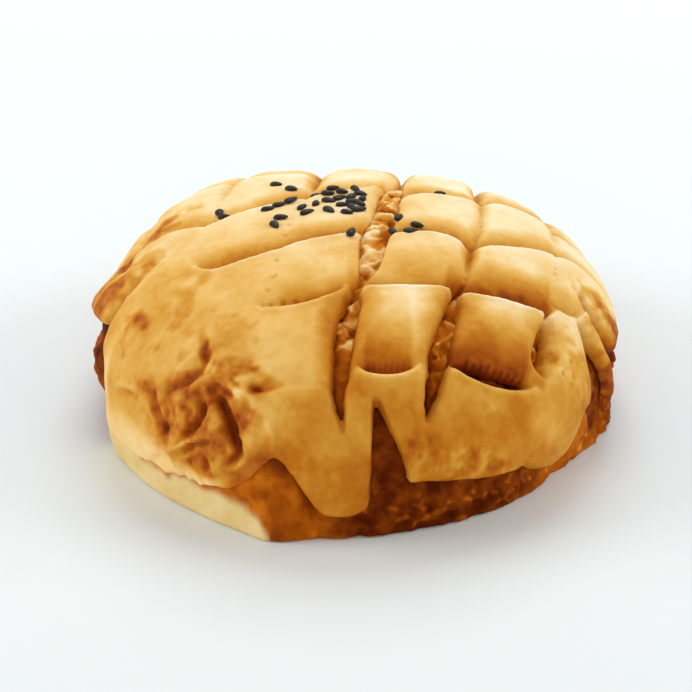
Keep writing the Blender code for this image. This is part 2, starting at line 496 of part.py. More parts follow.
def build_cutter(name, line, widen):
    """Wedge-sided bar that follows a score line through the crust."""
    rows = np.array([r for r in smooth_line(line) if r[3] > 0.15])
    p, q, half = rows[:, 0], rows[:, 1], rows[:, 3]
    along = np.append(0.0, np.cumsum(np.hypot(np.diff(p), np.diff(q))))
    at = np.linspace(0.0, along[-1], max(3, int(along[-1] / 2.2)))
    p, q, half = (np.interp(at, along, a) for a in (p, q, half))
    tp, tq = np.gradient(p), np.gradient(q)
    size = np.hypot(tp, tq)
    np_, nq_ = -tq / size, tp / size
    verts = []
    for lift, scale in ((3.0, 1.25), (-1.0, 1.0), (-6.5, 0.95)):
        for sign in (1.0, -1.0):
            sp = p + sign * np_ * half * scale * widen
            sq = q + sign * nq_ * half * scale * widen
            verts.append(place(np.arctan2(sq, sp), np.hypot(sp, sq), 0.0 * sp + lift))
    count = len(at)
    loop = [0, 2, 4, 5, 3, 1]
    faces = []
    for k in range(count - 1):
        for a, b in zip(loop, loop[1:] + loop[:1]):
            faces.append((a * count + k, b * count + k, b * count + k + 1, a * count + k + 1))
    faces.append(tuple(a * count for a in loop)[::-1])
    faces.append(tuple(a * count + count - 1 for a in loop))
    return solid(name, np.vstack(verts), faces, None, 0.5)


def build_seed(name, p, q, heading):
    """Teardrop seed lying on the crust, half sunk: five sides, three rings."""
    azimuth = np.array([math.atan2(q, p)])
    run = np.array([math.hypot(p, q)])
    top = crust_top(azimuth, run)
    spot = place(azimuth, run, top + 0.16 * SEED_HIGH)[0]
    above = place(azimuth, run, top + 2.0)[0]
    up = (above - spot) / np.linalg.norm(above - spot)
    turn = math.radians(heading)
    ahead = np.array([math.cos(turn), math.sin(turn), 0.0])
    ahead = ahead - up * float(np.dot(ahead, up))
    ahead = ahead / np.linalg.norm(ahead)
    across = np.cross(up, ahead)
    verts = [spot - ahead * SEED_LONG / 2]
    for share, fat in ((-0.55, 0.62), (0.05, 1.0), (0.62, 0.72)):
        for k in range(5):
            angle = 2 * math.pi * k / 5 + 0.3
            verts.append(spot + ahead * share * SEED_LONG / 2
                         + across * math.cos(angle) * fat * SEED_WIDE / 2
                         + up * math.sin(angle) * fat * SEED_HIGH / 2)
    verts.append(spot + ahead * SEED_LONG / 2)
    faces = [(0, 1 + (k + 1) % 5, 1 + k) for k in range(5)]
    for ring in (1, 6):
        for k in range(5):
            n = (k + 1) % 5
            faces.append((ring + k, ring + n, ring + 5 + n, ring + 5 + k))
    faces += [(16, 11 + k, 11 + (k + 1) % 5) for k in range(5)]
    return solid(name, np.array(verts), faces, None, 0.5)


def apply_modifiers(obj):
    shape = obj.evaluated_get(bpy.context.evaluated_depsgraph_get())
    mesh = bpy.data.meshes.new_from_object(shape)
    obj.modifiers.clear()
    obj.data = mesh


def thin_out(obj, budget):
    count = sum(len(face.vertices) - 2 for face in obj.data.polygons)
    step = obj.modifiers.new("thin_out", "DECIMATE")
    step.ratio = min(1.0, budget / count)
    apply_modifiers(obj)


def flatten_base(obj):
    """The underside lies exactly in the plane of the floor."""
    for vertex in obj.data.vertices:
        if vertex.co.z < 0.3 * MM:
            vertex.co.z = 0.0


def keep_largest(obj):
    """Loose crumbs of skin cut free between scores are dropped."""
    bm = bmesh.new()
    bm.from_mesh(obj.data)
    bm.faces.ensure_lookup_table()
    seen = set()
    groups = []
    for face in bm.faces:
        if face in seen:
            continue
        seen.add(face)
        group = [face]
        for item in group:
            for edge in item.edges:
                for other in edge.link_faces:
                    if other not in seen:
                        seen.add(other)
                        group.append(other)
        groups.append(group)
    groups.sort(key=len)
    for group in groups[:-1]:
        bmesh.ops.delete(bm, geom=group, context="FACES")
    bmesh.ops.triangulate(bm, faces=bm.faces[:])
    bm.to_mesh(obj.data)
    bm.free()


clear_scene()
bread = build_bread()
crust = build_crust()

cutters = []
for number, line in enumerate(LONG + CROSS + [WEDGE]):
    if max(row[3] for row in line) > 0.35:
        cutters.append(build_cutter("cut_%02d" % number, line, 1.0))
for cutter in cutters:
    cut = crust.modifiers.new(cutter.name, "BOOLEAN")
    cut.operation = "DIFFERENCE"
    cut.solver = "MANIFOLD"
    cut.object = cutter
apply_modifiers(crust)
for cutter in cutters:
    bpy.data.objects.remove(cutter, do_unlink=True)
keep_largest(crust)

thin_out(crust, CRUST_TRIS)
thin_out(bread, BREAD_TRIS)
flatten_base(bread)

seed_group = bpy.data.collections.new("sesame")
bpy.context.scene.collection.children.link(seed_group)
for number, (p, q, heading) in enumerate(SEEDS):
    seed = build_seed("sesame_%02d" % number, p, q, heading)
    bpy.context.scene.collection.objects.unlink(seed)
    seed_group.objects.link(seed)
join = crust.modifiers.new("sesame", "BOOLEAN")
join.operation = "UNION"
join.solver = "EXACT"
join.operand_type = "COLLECTION"
join.collection = seed_group
apply_modifiers(crust)
for seed in list(seed_group.objects):
    bpy.data.objects.remove(seed, do_unlink=True)
bpy.data.collections.remove(seed_group)
keep_largest(crust)

for obj in (bread, crust):
    for face in obj.data.polygons:
        face.use_smooth = True
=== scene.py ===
import bpy
import math
from itertools import product
import numpy as np
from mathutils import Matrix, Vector


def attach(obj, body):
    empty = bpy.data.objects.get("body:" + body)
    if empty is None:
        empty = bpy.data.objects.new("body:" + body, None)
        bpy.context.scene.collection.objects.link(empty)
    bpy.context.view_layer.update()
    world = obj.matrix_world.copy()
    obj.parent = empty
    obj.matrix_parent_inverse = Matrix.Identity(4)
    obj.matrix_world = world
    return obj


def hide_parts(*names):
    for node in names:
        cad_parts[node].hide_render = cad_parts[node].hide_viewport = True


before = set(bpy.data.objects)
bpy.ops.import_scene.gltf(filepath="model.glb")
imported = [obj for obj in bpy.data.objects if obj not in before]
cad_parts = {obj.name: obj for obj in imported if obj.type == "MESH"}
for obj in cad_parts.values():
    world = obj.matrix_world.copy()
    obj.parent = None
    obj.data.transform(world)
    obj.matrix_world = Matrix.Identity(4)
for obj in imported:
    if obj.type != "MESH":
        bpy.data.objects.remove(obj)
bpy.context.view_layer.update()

# A pineapple bun: a round bread bun baked under a scored cookie-dough crust with
# black sesame seeds.  Shapes are worked out in millimetres and handed to Blender
# in metres.  The bun stands on z = 0 and its open cuts face -Y.
MM = 0.001

# ---- sizes of the bun, in millimetres ---------------------------------------
RADIUS = 55.3          # widest half-breadth of the dome
WIDEST = 14.7          # height of that level
RISE = 26.9            # dome above it
ROUNDNESS = 2.05       # superellipse exponent of the upper profile
FOOT_ROUND = 0.9       # rounding between side and flat underside
FOOT_BEND = 1.35       # how soon the side turns towards the foot
SKIN = 4.3             # crust thickness on top
SKIN_LOW = 2.3         # crust thickness near its lower edge
GAP = 0.5              # clearance between crust and bread
PLATE_SWELL = 0.7      # how far the middle of a plate stands over the dome
WEB = 0.9              # least crust left under a crease
LIP = 1.9              # rounding of the crust's lower edge
LIP_PALE = 0.6         # the same, where the crust meets the pale side
CUT_LIP = 1.2          # rounding of the crust along an open cut
UNDER_LIP = 0.35       # rounding of the crust's inner edge
ROLL_FAR = 8.0         # shoulder of a cross score on its far side
ROLL_NEAR = 1.5        # shoulder of a cross score on its near side
ROLL_LONG = 3.0        # shoulder of a long score that has opened, either side
ROLL_SHUT = 4.6        # shoulder of a long score that has stayed shut
ROLL_WEDGE = 1.5       # shoulder of the wedge
OPENED = 0.1           # half-width from which a score's shoulders are those of a cut
CUT_THROUGH = 0.12     # half-width from which a score goes right through the crust
NEAR_LIP = 0.45        # height of the lip on the near side of a cross score
LIP_OUT = 1.1          # how far the lip stands back from the score
LIP_WIDE = 0.75        # half-breadth of the lip
FRAY_LONG = 0.8        # how far a long cut's browned edge reaches
FRAY_CROSS = 0.6       # the same, for a cross score
HEAP_LONG = 1.1        # how far torn bread spreads under the edge of a long cut
HEAP_CROSS = 0.6       # the same, for a cross score
SMOOTH_WEDGE = 0.25    # raggedness of the wedge, as a share of the other cuts'
SIDE_FROM = 48.0       # where the top of the dome turns into its side, from the apex
SIDE_DROP = 0.30       # how much lower the crust lies from there on
FOLD_DEPTH = 1.15      # depth of a fold, as a share of what its rows give
CRAG_HEIGHT = 0.8      # height of the crags in the crumple
DEEP_SCORE = 2.4       # depth of a score that is browned in full
WIDE_CUT = 0.8         # half-width of a cut that is torn and browned in full

VOXEL = 0.46    # grid on which the solids are worked out
MAP_STEP = 0.3         # spacing of the points in the peeled maps
MAP_REACH = 88.0       # how far the maps reach from the apex
LINE_REACH = 11.0      # how far a line's own values are worked out round it
NO_CUT = 9.0           # stands in the map of cuts for no cut near here
FAR = 99.0             # stands for a long way off

# radius of the foot on the floor, (azimuth deg, mm)
FOOT = [(-180, 53), (-172, 51.6), (-165, 51.6), (-159, 53.4), (-153, 55), (-147, 55.6), (-139, 55.9),
        (-125, 56.6), (-114, 58), (-107, 59.5), (-103, 58.6), (-97, 57.2), (-88, 56.2), (-75, 55.2),
        (-58, 54.6), (-48, 53.8), (-40, 52.8), (-28, 53.4), (-18, 56.4), (-8, 55.2), (0, 53.8),
        (60, 54.2), (120, 54.4), (150, 54), (180, 53)]

# height of the crust's lower edge, (azimuth deg, mm)
EDGE = [(-180, 19.6), (-177, 19.6), (-174, 20.6), (-170, 22.4), (-166, 22), (-163, 19.6), (-159, 18),
        (-157, 15), (-155, 7), (-153, 4.2), (-150, 3.8), (-138, 5.4), (-130, 6.2), (-123, 6.6),
        (-116, 7.2), (-112.5, 9.5), (-109, 14), (-107, 15.8), (-105.3, 15.4), (-102.6, 13),
        (-100.5, 10.5), (-98.5, 7.4), (-96.8, 5.4), (-93.7, 4.8), (-90.5, 4.8), (-87.5, 6.5),
        (-80, 11.3), (-75, 11.4), (-71, 10.4), (-62, 9), (-58.2, 8.4), (-54.6, 7.9), (-52.4, 8.8),
        (-50.2, 6.6), (-48.4, 5.8), (-44.2, 4.4), (-39.2, 3.4), (-36, 4.6), (-34, 12), (-30, 14),
        (-25, 12), (-23.4, 5), (-21, 3), (-18.6, 2.6), (-17, 4), (-15.3, 12), (-13.5, 17.5),
        (-8, 17.4), (0, 15.5), (9, 10.5), (18, 8.2), (27, 10.6), (37, 7.4), (47, 9.6), (59, 7.2),
        (71, 9), (83, 6.6), (96, 8.6), (108, 7), (121, 9.6), (134, 8.4), (146, 12), (157, 15),
        (167, 18), (173, 19.2), (180, 19.6)]

# broad swellings and dents of the dome: peeled p, q, spread, height
SWELLS = [(-38, 34, 15, 1.9), (-24, 38, 12, 0.8), (38, 26, 12, 0.5), (-3, -66, 10, 0.9),
          (-20, -72, 9, 0.6), (0, 22, 26, -0.45), (20, 28, 9, -0.5), (-53, 12, 8, -1.1),
          (-61.5, 1, 6, 1.5), (-72, -8, 6, 1.3), (63, -13, 7, 1.1), (10.3, 34, 5, -1.5),
          (11.2, 46, 5, -1.8), (-8.4, 36, 4.5, -1.2), (-7.4, 46, 4.5, -1.4), (-69, -31.5, 5.5, 1.5)]

# ---- the scored pattern -----------------------------------------------------
# Every line is in peeled coordinates: distance from the apex along the crust,
# laid out flat.  Rows are p, q, depth of the crease, half-width cut through,
# and how high the torn bread stands in the cut over its bed; the last two are
# left off where they are 0.
# Long scores: tone of the bread in the cut, its darkness partly painted shade down in the cut, then the
# rows of the line.
LONG = [
    (0.34, [(9, 66, 2.8), (11.6, 50, 3), (11.2, 35, 3.5), (9.9, 24, 3.5, 0.2, 2),
          (9.2, 20, 2.6, 1.3, 3.5), (7.4, 12.5, 2.2, 2, 4), (6.8, 5.5, 2.2, 2.2, 4),
          (5.7, -1, 2.4, 2.3, 3.9), (4.3, -5, 2.6, 2.5, 3.8), (3.6, -10, 2.6, 2.4, 3.7),
          (3.1, -15, 2.6, 1.9, 3.5), (2.4, -18.5, 2.6, 1.3, 3), (1.5, -21.5, 2.6, 0.7, 1.8),
          (0, -24.2, 2.6, 0.9, 1.4), (-0.4, -28, 2.6, 1.5, 1.8), (-1.6, -33, 2.6, 1.9, 1.8),
          (-2.3, -37, 2.6, 1.9, 1.5), (-2.7, -41, 2.6, 1.8, 1.1), (-3.2, -46, 2.6, 1.6, 0.8),
          (-3.7, -50, 2.4, 1.2, 0.6), (-3.3, -54, 2.2, 0.8, 0.4), (-2.6, -58, 0.8, 0.2, 0.2)]),
    (0.28, [(27, 62, 2.4), (28.8, 46, 2.6), (28.2, 33, 3), (27.1, 20.5, 2.8), (27.4, 13, 1.2),
          (26.6, 3, 1.5), (24.9, -4.5, 2.6), (24, -8, 2.9), (23.4, -12, 2.6), (22.9, -17, 2),
          (22.1, -20.8, 2.4, 0.15, 1), (20.5, -23, 2.4, 0.5, 1.4), (20.2, -26, 2.6, 0.9, 1.7),
          (19.5, -30, 2.6, 1.2, 1.9), (18.6, -33.5, 2.6, 1.6, 1.8), (17.6, -37, 2.6, 1.9, 1.6),
          (17.2, -40.5, 2.6, 2.1, 1.2), (16.8, -44, 2.6, 1.8, 0.9), (16.2, -48, 2.4, 1.4, 0.7),
          (15.7, -52, 2.2, 0.8, 0.5), (15.2, -55, 0.8, 0.2, 0.3)]),
    (0.26, [(39, 52, 2), (43, 36, 2), (44, 20, 1.6), (43.6, -2, 0.7), (42.1, -10.4, 0.7),
          (41.2, -17, 1), (40.6, -22.5, 1.8, 0.2, 0.8), (39.9, -27, 2.4, 0.7, 1.2),
          (39.3, -31, 2.6, 1, 1.2), (38.7, -35, 2.6, 1.1, 1), (38.8, -37, 1.8, 0.7, 0.8),
          (40.6, -38.4, 0.9, 0.2, 0.5)]),
    (0.24, [(48.2, -19.6, 1.2, 0.3), (50.2, -21.4, 2.2, 0.7), (52.6, -23.7, 2.4, 1.6),
          (54.9, -25.4, 2.4, 2.8), (57.6, -26.8, 2.4, 3.9), (60.2, -27.9, 2.4, 4.8),
          (64, -28.9, 2.2, 5.6), (70, -28.6, 2.2, 5.8), (77, -31.5, 2.2, 5.8)]),
    (0.16, [(48.6, -10.8, 1.2, 0.3), (50, -12.6, 2.2, 0.5), (52.7, -15.3, 2.4, 0.7),
          (56, -17, 2.4, 0.9), (59, -18, 2.4, 0.8), (62, -17.6, 2.4, 1.2), (65.5, -16, 2.2, 2),
          (70, -14, 2.2, 3.2), (77, -12, 2.2, 4.4)]),
    (0.4, [(-2, 64, 2.4), (-5.6, 50, 2.6), (-7.8, 37, 3.2), (-8.4, 23, 2.8), (-9.5, 14, 0.8),
          (-13.4, -0.3, 0.5), (-16.3, -19.5, 0.5), (-19.4, -31.8, 0.3)]),
    (0.4, [(-16, 62, 2.2), (-20.5, 48, 2.2), (-25.5, 33, 1.8), (-29.5, 17, 0.9), (-32.1, 2.9, 0.7),
          (-34.6, -14.9, 0.3)]),
    (0.4, [(-38, 48, 2), (-44.5, 31, 1.8), (-49, 14, 1.4), (-51, 2, 1.1)]),
    (0.26, [(-39.5, -0.3, 1), (-42.5, -4, 1.5), (-46.5, -6.6, 1.7), (-50.5, -9.6, 2, 0.1),
          (-54, -11.3, 2.4, 0.5), (-57, -12.8, 2.4, 1), (-60, -14.4, 2.4, 1.6)]),
]
# Cross scores: how dark the rolled far wall is painted, partly browning and partly painted shade where it
# faces down into the score, how far that fades up the plate behind it in millimetres, then the rows of
# the line.
CROSS = [
    (0.2, 8, [(-19.8, -48.1, 0.3), (-12.5, -48.3, 0.4), (-5.4, -49.2, 0.3)]),
    (0.7, 21, [(1.4, -45.2, 1.6), (3, -45.9, 2.6), (6, -46.2, 2.8), (9, -45.8, 2.6), (11.8, -44.4, 1.4)]),
    (0.8, 21, [(20.3, -42.4, 2, 0.3, 0.8), (22.5, -43, 2.6, 0.8, 0.8), (26, -43.5, 2.8, 1.1, 0.8),
          (30, -43.4, 2.8, 1.1, 0.8), (34, -42.9, 2.6, 0.7, 0.8), (37.2, -42, 1.4, 0.2, 0.8)]),
    (0.5, 11, [(-18, -28.6, 1.2), (-13, -28.9, 2), (-8, -27.9, 2.2), (-4.5, -26.3, 2.2),
          (-2.5, -24.6, 1.8)]),
    (0.48, 19, [(1.8, -24.2, 2.2), (6, -23.9, 2.3), (12, -23.5, 2.4), (18, -22.6, 2.5),
          (20, -22.3, 2.5)]),
    (0.74, 13, [(22.2, -23.2, 2.9), (26, -22.8, 3.1), (32, -22.6, 3.1), (37, -22.5, 2.9),
          (40, -22.3, 2.2), (41.5, -21, 1.4)]),
    (0.48, 11, [(41, -18.6, 1.6), (42.5, -19.7, 2.2), (45, -19.8, 2.3), (48, -18.2, 2),
          (49.4, -15.5, 1.3), (52, -11, 0.8), (60, -5.5, 0.6)]),
    (0.58, 10, [(-34, -8, 0.6), (-32.2, -11.5, 1.5), (-29.5, -13.9, 2.1), (-26.5, -13.8, 2.3),
          (-22, -12.4, 2.3), (-16, -10.9, 2.4), (-10, -8.4, 2.4), (-4, -6.8, 2.4), (1, -5.2, 2.2)]),
    (0.6, 9, [(7.5, -6.2, 1.8), (11, -5.2, 2.2), (14.5, -4.3, 2.3), (18, -4.6, 2.4), (21.5, -5.8, 2.5),
          (22.8, -7.2, 2)]),
    (0.6, 9, [(25.8, -6.8, 2.2), (28, -5.3, 2.4), (32, -3.9, 2.5), (36, -2.2, 2.4), (40, -0.8, 2.2),
          (44, 0.6, 1.7), (49, 2, 1.1), (60, 0, 0.9)]),
    (0.54, 9, [(-54, 8, 1), (-47, 6.5, 1.4), (-42, 7.5, 1.7), (-38, 7.4, 1.7), (-34, 5.4, 1.9),
          (-30, 5.3, 2), (-26, 7.3, 2.1), (-20, 9.2, 2.2), (-13, 11.5, 2.3), (-8, 13.2, 2.1),
          (-3, 15.2, 1.9), (3, 17.5, 1.5)]),
    (0.54, 9, [(9.5, 11.5, 1.7), (12, 13.2, 2.1), (15, 15.2, 2.3), (20, 16.3, 2.1), (24.5, 16, 2),
          (27.3, 15, 2), (30, 17, 2.1), (34, 18.3, 2.2), (38, 17.6, 2.2), (41, 16.2, 2.1),
          (44, 13.5, 1.7), (50.5, 12, 1.5), (60, 13, 1.3)]),
    (0.4, 8, [(-50, 25, 1.4), (-37, 27.5, 2), (-20, 30.5, 2.2), (-4, 34, 2.2), (13, 37, 2.2),
          (29, 38.5, 2.2), (44, 36, 1.9), (55, 30, 1.4)]),
    (0.4, 8, [(-48, 44, 1.4), (-30, 50, 1.9), (-10, 53, 2), (10, 56, 2), (30, 55, 1.9), (46, 48, 1.4)]),
]
SIDE_TEARS = (3, 4)    # rows of LONG that are deep hollows in the side, their darkness painted shade
CROSS_SHADOW_TONE = 0.10      # painted shadow: the bread seen through an open cross score, darkened almost to black
WEDGE_TONE = 0.21      # the bread seen in the wedge
# the wedge where the crust has pulled apart down to its lower edge
WEDGE = [(4.3, -52, 1.6, 0.3), (4.9, -55, 2, 1.1), (5.6, -58, 2, 1.8), (6.4, -61, 2, 2.6),
         (7.2, -64, 2, 3.3), (8, -67, 2, 4.1), (8.4, -70, 2, 4.6), (9.5, -75, 2, 5.4),
         (10.5, -80, 2, 6)]

# ---- the torn, crumpled front-left side -------------------------------------
CRUMPLE = (-36.0, -50.5, 17.5, 14.0)      # peeled centre and half-breadths
# Crevices and thin raised curls of torn skin: p, q, depth (a curl is negative),
# half-width.
FOLDS = [
    [(-29.6, -46.3, 1, 1.1), (-27.7, -49, 1.9, 1.25), (-27, -53, 2.5, 1.35), (-26.6, -57, 2.5, 1.35),
     (-27.2, -59.8, 2.3, 1.25), (-30, -60.6, 1.4, 1)],
    [(-40, -41.2, 0.8, 0.9), (-36, -41.8, 1, 1), (-32, -41.6, 1.1, 1.1), (-30.2, -38.5, 0.9, 1),
     (-31, -34, 0.6, 0.9), (-31.2, -31.5, 0.2, 0.8)],
    [(-42, -52, 0.9, 0.8), (-38, -51.6, 1.2, 0.9), (-34, -50.6, 1.4, 1.1), (-32.8, -47.5, 1.4, 1.1),
     (-33.5, -45.5, 0.5, 0.9)],
    [(-42, -54.6, 0.6, 0.7), (-38, -54.4, 1, 0.8), (-34, -55, 0.8, 0.8)],
    [(-36.8, -56.8, 0.9, 1), (-36, -58.5, 1.2, 1.1), (-37.5, -60.5, 0.9, 1)],
    [(-20.8, -47.6, 1, 0.9), (-18.5, -48.5, 0.6, 0.8), (-15, -48.4, 0.2, 0.7)],
    [(-45, -38.5, 0.5, 1.2), (-45.2, -44, 0.9, 1.3), (-44.6, -48, 0.9, 1.3)],
    [(-56, -51, 0.3, 1), (-52, -51.8, 0.7, 1.1), (-47.5, -50.8, 0.7, 1)],
    [(-24.8, -51.8, 0.7, 0.8), (-22.2, -51.8, 0.6, 0.8)],
    [(-17, -64.5, 0.5, 0.8), (-19.5, -62, 0.8, 0.9), (-21.5, -61, 0.6, 0.9)],
    [(-55, -33.2, 0.3, 0.9), (-52, -35.6, 0.7, 0.9), (-50, -38, 0.4, 0.8)],
    [(-33.2, -42.8, -0.4, 0.6), (-29.5, -43.6, -0.9, 0.65), (-27.5, -44.6, -0.8, 0.65),
     (-25.6, -46.2, -1, 0.7), (-24, -48.3, -1.1, 0.7), (-22, -49.8, -1, 0.7), (-20.6, -50.4, -0.5, 0.6)],
    [(-39.5, -44.2, -0.3, 0.6), (-37, -45, -0.6, 0.65), (-34.8, -44.6, -0.4, 0.6)],
    [(-51.5, -51, -0.4, 0.6), (-47.5, -52, -0.7, 0.7), (-43, -52.9, -0.8, 0.65),
     (-38, -53.2, -1, 0.65), (-33.2, -54, -0.6, 0.6)],
    [(-18.8, -54.5, -0.3, 0.7), (-17.2, -57.5, -0.6, 0.7), (-18, -60.5, -0.4, 0.7)],
    [(-30.5, -62.2, -0.4, 0.7), (-28, -62, -0.8, 0.7), (-25.5, -61.4, -0.4, 0.6)],
    [(-55, -31.5, -0.3, 0.7), (-51.5, -34.3, -0.6, 0.7), (-49.5, -36.6, -0.4, 0.7)],
]
# Browned parts of the crust: p, q, half-length, half-width, heading, amount.
# Broad ones with a soft edge, then small ones.
BROAD = [
    (-35, -49, 15, 12, -25, 0.76), (-23, -58, 10, 8, -50, 0.46), (-28, -62, 10, 6, -35, 0.6),
    (-46, -25, 9, 8, 30, 0.48), (-38, -20, 12, 9, 30, 0.46), (-53, -4, 9, 8, -20, 0.68),
    (-51, 8, 9, 6, 100, 0.7), (-43, 12, 8, 5, 30, 0.58), (-56, -4, 8, 6, 60, 0.62),
    (-61, 0, 9, 12, -10, 0.58), (-27, -36, 11, 9, -20, 0.46), (-20, -48, 4.5, 4, 0, 0.52),
    (51, -33, 8, 5, -60, 0.46), (54, -36, 7, 5, -40, 0.56), (59, -21.5, 8, 2.4, -25, 0.68),
    (67, -22, 8, 3, 3, 0.74), (62, -11, 5, 6, 0, 0.7), (55, -9, 6, 5, 0, 0.46),
    (41.4, -33, 5.5, 1.7, 92, 0.64), (58, -11, 8, 6, -30, 0.64), (60, -14, 6, 4, 20, 0.74),
    (-5, -38, 5, 9, 0, 0.46), (-38, -62, 9, 4, 25, 0.62), (13.5, -61, 6, 5, 0, 0.66)
]
PATCHES = [
    (-45, -47, 10, 2.6, 86, 0.7), (-49, -52, 6, 2, 5, 0.6), (-27, -46.5, 4.5, 3.2, -30, 0.76),
    (-36, -42, 6, 2.2, 8, 0.7), (-30.6, -37, 5, 1.8, 85, 0.66), (-46.5, -20.4, 6.2, 3.2, -48, 0.58),
    (-38, -27.2, 3.2, 2.2, 30, 0.52), (-41.5, -30.8, 3.6, 1.4, 40, 0.48), (-36, -24, 5.5, 4, 20, 0.5),
    (-52.3, -36.2, 4, 1.5, -42, 0.5), (-48.5, -34, 2.5, 1.2, -30, 0.46),
    (-20.4, -48, 2.3, 1.6, -15, 0.74), (-20.5, -44, 1.4, 1, 0, 0.62), (-24, -43.5, 4, 2, -10, 0.6),
    (-40, 11, 4.5, 2.5, 10, 0.48), (-47, 13, 5, 4, 30, 0.42), (-45, -1, 4, 4.5, 0, 0.44),
    (-60, -6, 4, 6, -40, 0.66), (-13, 14, 3, 2.4, -20, 0.46), (11.5, 14, 2.6, 1.6, 35, 0.5),
    (37.5, 19.5, 4, 1.8, 0, 0.42), (5.6, 7, 0.8, 1.5, 90, 0.6), (46.6, -31.6, 0.9, 0.8, 0, 0.52),
    (44.8, -35.6, 0.7, 0.6, 0, 0.52), (48, -36.4, 0.9, 0.6, -30, 0.52), (45, -58, 2.6, 0.9, 5, 0.64),
    (12, -63, 3, 2.2, 0, 0.6), (-10, -63.2, 0.9, 0.5, 20, 0.6), (-10.5, -66, 0.8, 0.5, 50, 0.62),
    (-16, -20, 0.5, 0.6, 0, 0.62), (-26.6, -13.4, 0.9, 0.5, 0, 0.6), (24, -10, 1.6, 3.5, 0, 0.56),
    (30, -20.6, 8.5, 1.4, 0, 0.62), (29, -40, 8, 1.3, 0, 0.62), (20, -62, 9, 4, 10, 0.56),
    (35, -60, 8, 3.5, -10, 0.6), (28, -50, 6, 3, 0, 0.5), (-34, -55, 5, 3, 10, 0.66),
    (-24, -63, 6, 3, -30, 0.6), (25, -62, 8, 5, 0, 0.6)
]
# the pale skin where the bun touched its neighbour: (azimuth deg, distance from
# the apex at which the pale strip begins)
PALE = [(-180, 99), (-160, 99), (-156, 76), (-150, 74), (-138, 76), (-130, 75.4), (-123.4, 75),
        (-118.2, 74.8), (-113.4, 75.2), (-110.6, 76.3), (-108.2, 77.7), (-106.4, 79.7), (-105.4, 82),
        (-104, 99), (180, 99)]
# Pricked dots along weak scores and ribs in the deep ones: ends of the row in
# peeled p, q, spacing, and length of a mark up the crust.
PRICKS = [((43.6, 6), (42.6, -8), 2.3, 0.45), ((27.3, 13.5), (26.6, 4), 2.1, 0.45),
          ((-13.6, -1), (-15.8, -15), 4.4, 0.45), ((2.6, -45), (11, -44.4), 1.2, 0.9),
          ((-17, -28), (-7, -27.2), 2.4, 0.45), ((-16.5, -20.5), (-18.6, -28.5), 4.2, 0.5),
          ((23, -41.4), (35.5, -41.2), 1.5, 1)]
PRICK_WIDE = 0.45

# ---- how brown each part is, painted shade and highlights included ----------
# The crust's toast runs from 0, cream, to 1, burnt; it also carries painted shade in the cuts and creases
# and a painted highlight on the lips.
CROWN_TOAST = 0.07     # the crowns of the plates at the back
SEEDED_TOAST = 0.06    # more from the seeds forward
FRONT_TOAST = 0.18     # more towards the front, left of the middle
LEFT_TOAST = 0.11      # more down the left side
CLOUD_TOAST = 0.055    # soft clouds of darker and lighter crust
CUT_WALL_TOAST_AND_SHADE = 0.47      # crust seen from inside along a cut: browned, with painted shade that deepens further into the cut
CREVICE_TOAST = 0.78   # the bottom of a crevice in the crumple
FRAYED_TOAST = 0.64    # the hem of the crust where it meets the browned bread
PALE_SIDE_TOAST = 0.20  # the hem above the pale side
RUDDY = 0.15           # how far the patches on the left turn to a redder brown
# what a mark of each kind adds to the toast, where that mark is at its fullest; shade is painted shade in
# the bottom of a crease and the lip's negative amount is a painted highlight on the lip below a cross
# score
CREASE_MARKS = {"web": 0.15, "shade": 0.05}
SKIN_MARKS = {"curl": -0.20, "prick": 0.15, "lip": -0.24}
# brown beside a long score: (how much, how far it reaches in mm, how sharply it ends)
BESIDE_CUT = (0.24, 6.5, 1.8)
BESIDE_SHUT = (0.46, 2.4, 2)
FRONT_CUT_MORE = 0.27  # more beside the cuts at the front
SIDE_TEAR_BROWN = 0.28
# how brown the lower part of the crust is, (azimuth deg, toast)
LOW_TOAST = [(-180, 0.34), (-168, 0.2), (-150, 0.14), (-138, 0.14), (-128, 0.26), (-118, 0.38),
             (-105, 0.38), (-97, 0.48), (-90, 0.52), (-70, 0.57), (-55, 0.54), (-42, 0.46),
             (-32, 0.52), (-15, 0.7), (0, 0.54), (40, 0.42), (90, 0.38), (140, 0.4), (180, 0.34)]
# where that browning starts, (azimuth deg, mm from the apex)
LOW_START = [(-180, 54), (-150, 56), (-130, 46), (-115, 42), (-100, 39), (-88, 36), (-60, 38),
             (-48, 45), (-35, 51), (-20, 50), (0, 56), (60, 58), (120, 56), (180, 54)]
# The bread's tone runs from 0, almost black, to 1, cream.
# how light the bare bread is below the crust, (azimuth deg, tone); the darkest stretch, at the front
# right under the crust's overhang, is partly painted shade
LOW_TONE = [(-180, 0.4), (-172, 0.3), (-158, 0.3), (-150, 0.45), (-118, 0.46), (-109, 0.46),
            (-104, 0.36), (-101, 0.42), (-97, 0.41), (-93, 0.3), (-88, 0.18), (-78, 0.15), (-70, 0.18),
            (-60, 0.21), (-52, 0.29), (-44, 0.42), (-36, 0.5), (-28, 0.48), (-20, 0.44), (-14, 0.3),
            (0, 0.34), (60, 0.38), (120, 0.38), (180, 0.4)]
# how light the torn crumb is, (mm in front of the apex, tone)
CRUMB_TONE = [(-6, 0.70), (8, 0.76), (17, 0.86), (20, 0.70), (24, 0.62), (30, 0.56),
              (42, 0.44), (54, 0.56)]

# ---- random waves, as layers of (height, size across in mm, seed) -------------
TORN_EDGE = [(0.32, 2.6, 13), (0.20, 1.2, 14)]
PATCH_EDGE = [(0.6, 3.4, 31), (0.4, 1.5, 32)]
CRUMPLE_EDGE = [(0.12, 7.0, 5), (0.06, 3.0, 6)]
FOLD_EDGE = [(0.35, 2.2, 11)]
UNEVEN_TOP = [(0.30, 13.0, 41), (0.14, 5.0, 42), (0.05, 2.0, 44)]
CLOUDS = [(1.0, 13.0, 71), (1.0, 6.0, 72)]
BLOTS = [(1.0, 3.4, 74), (0.7, 1.6, 75)]
FLECKS = [(0.6, 0.9, 76)]

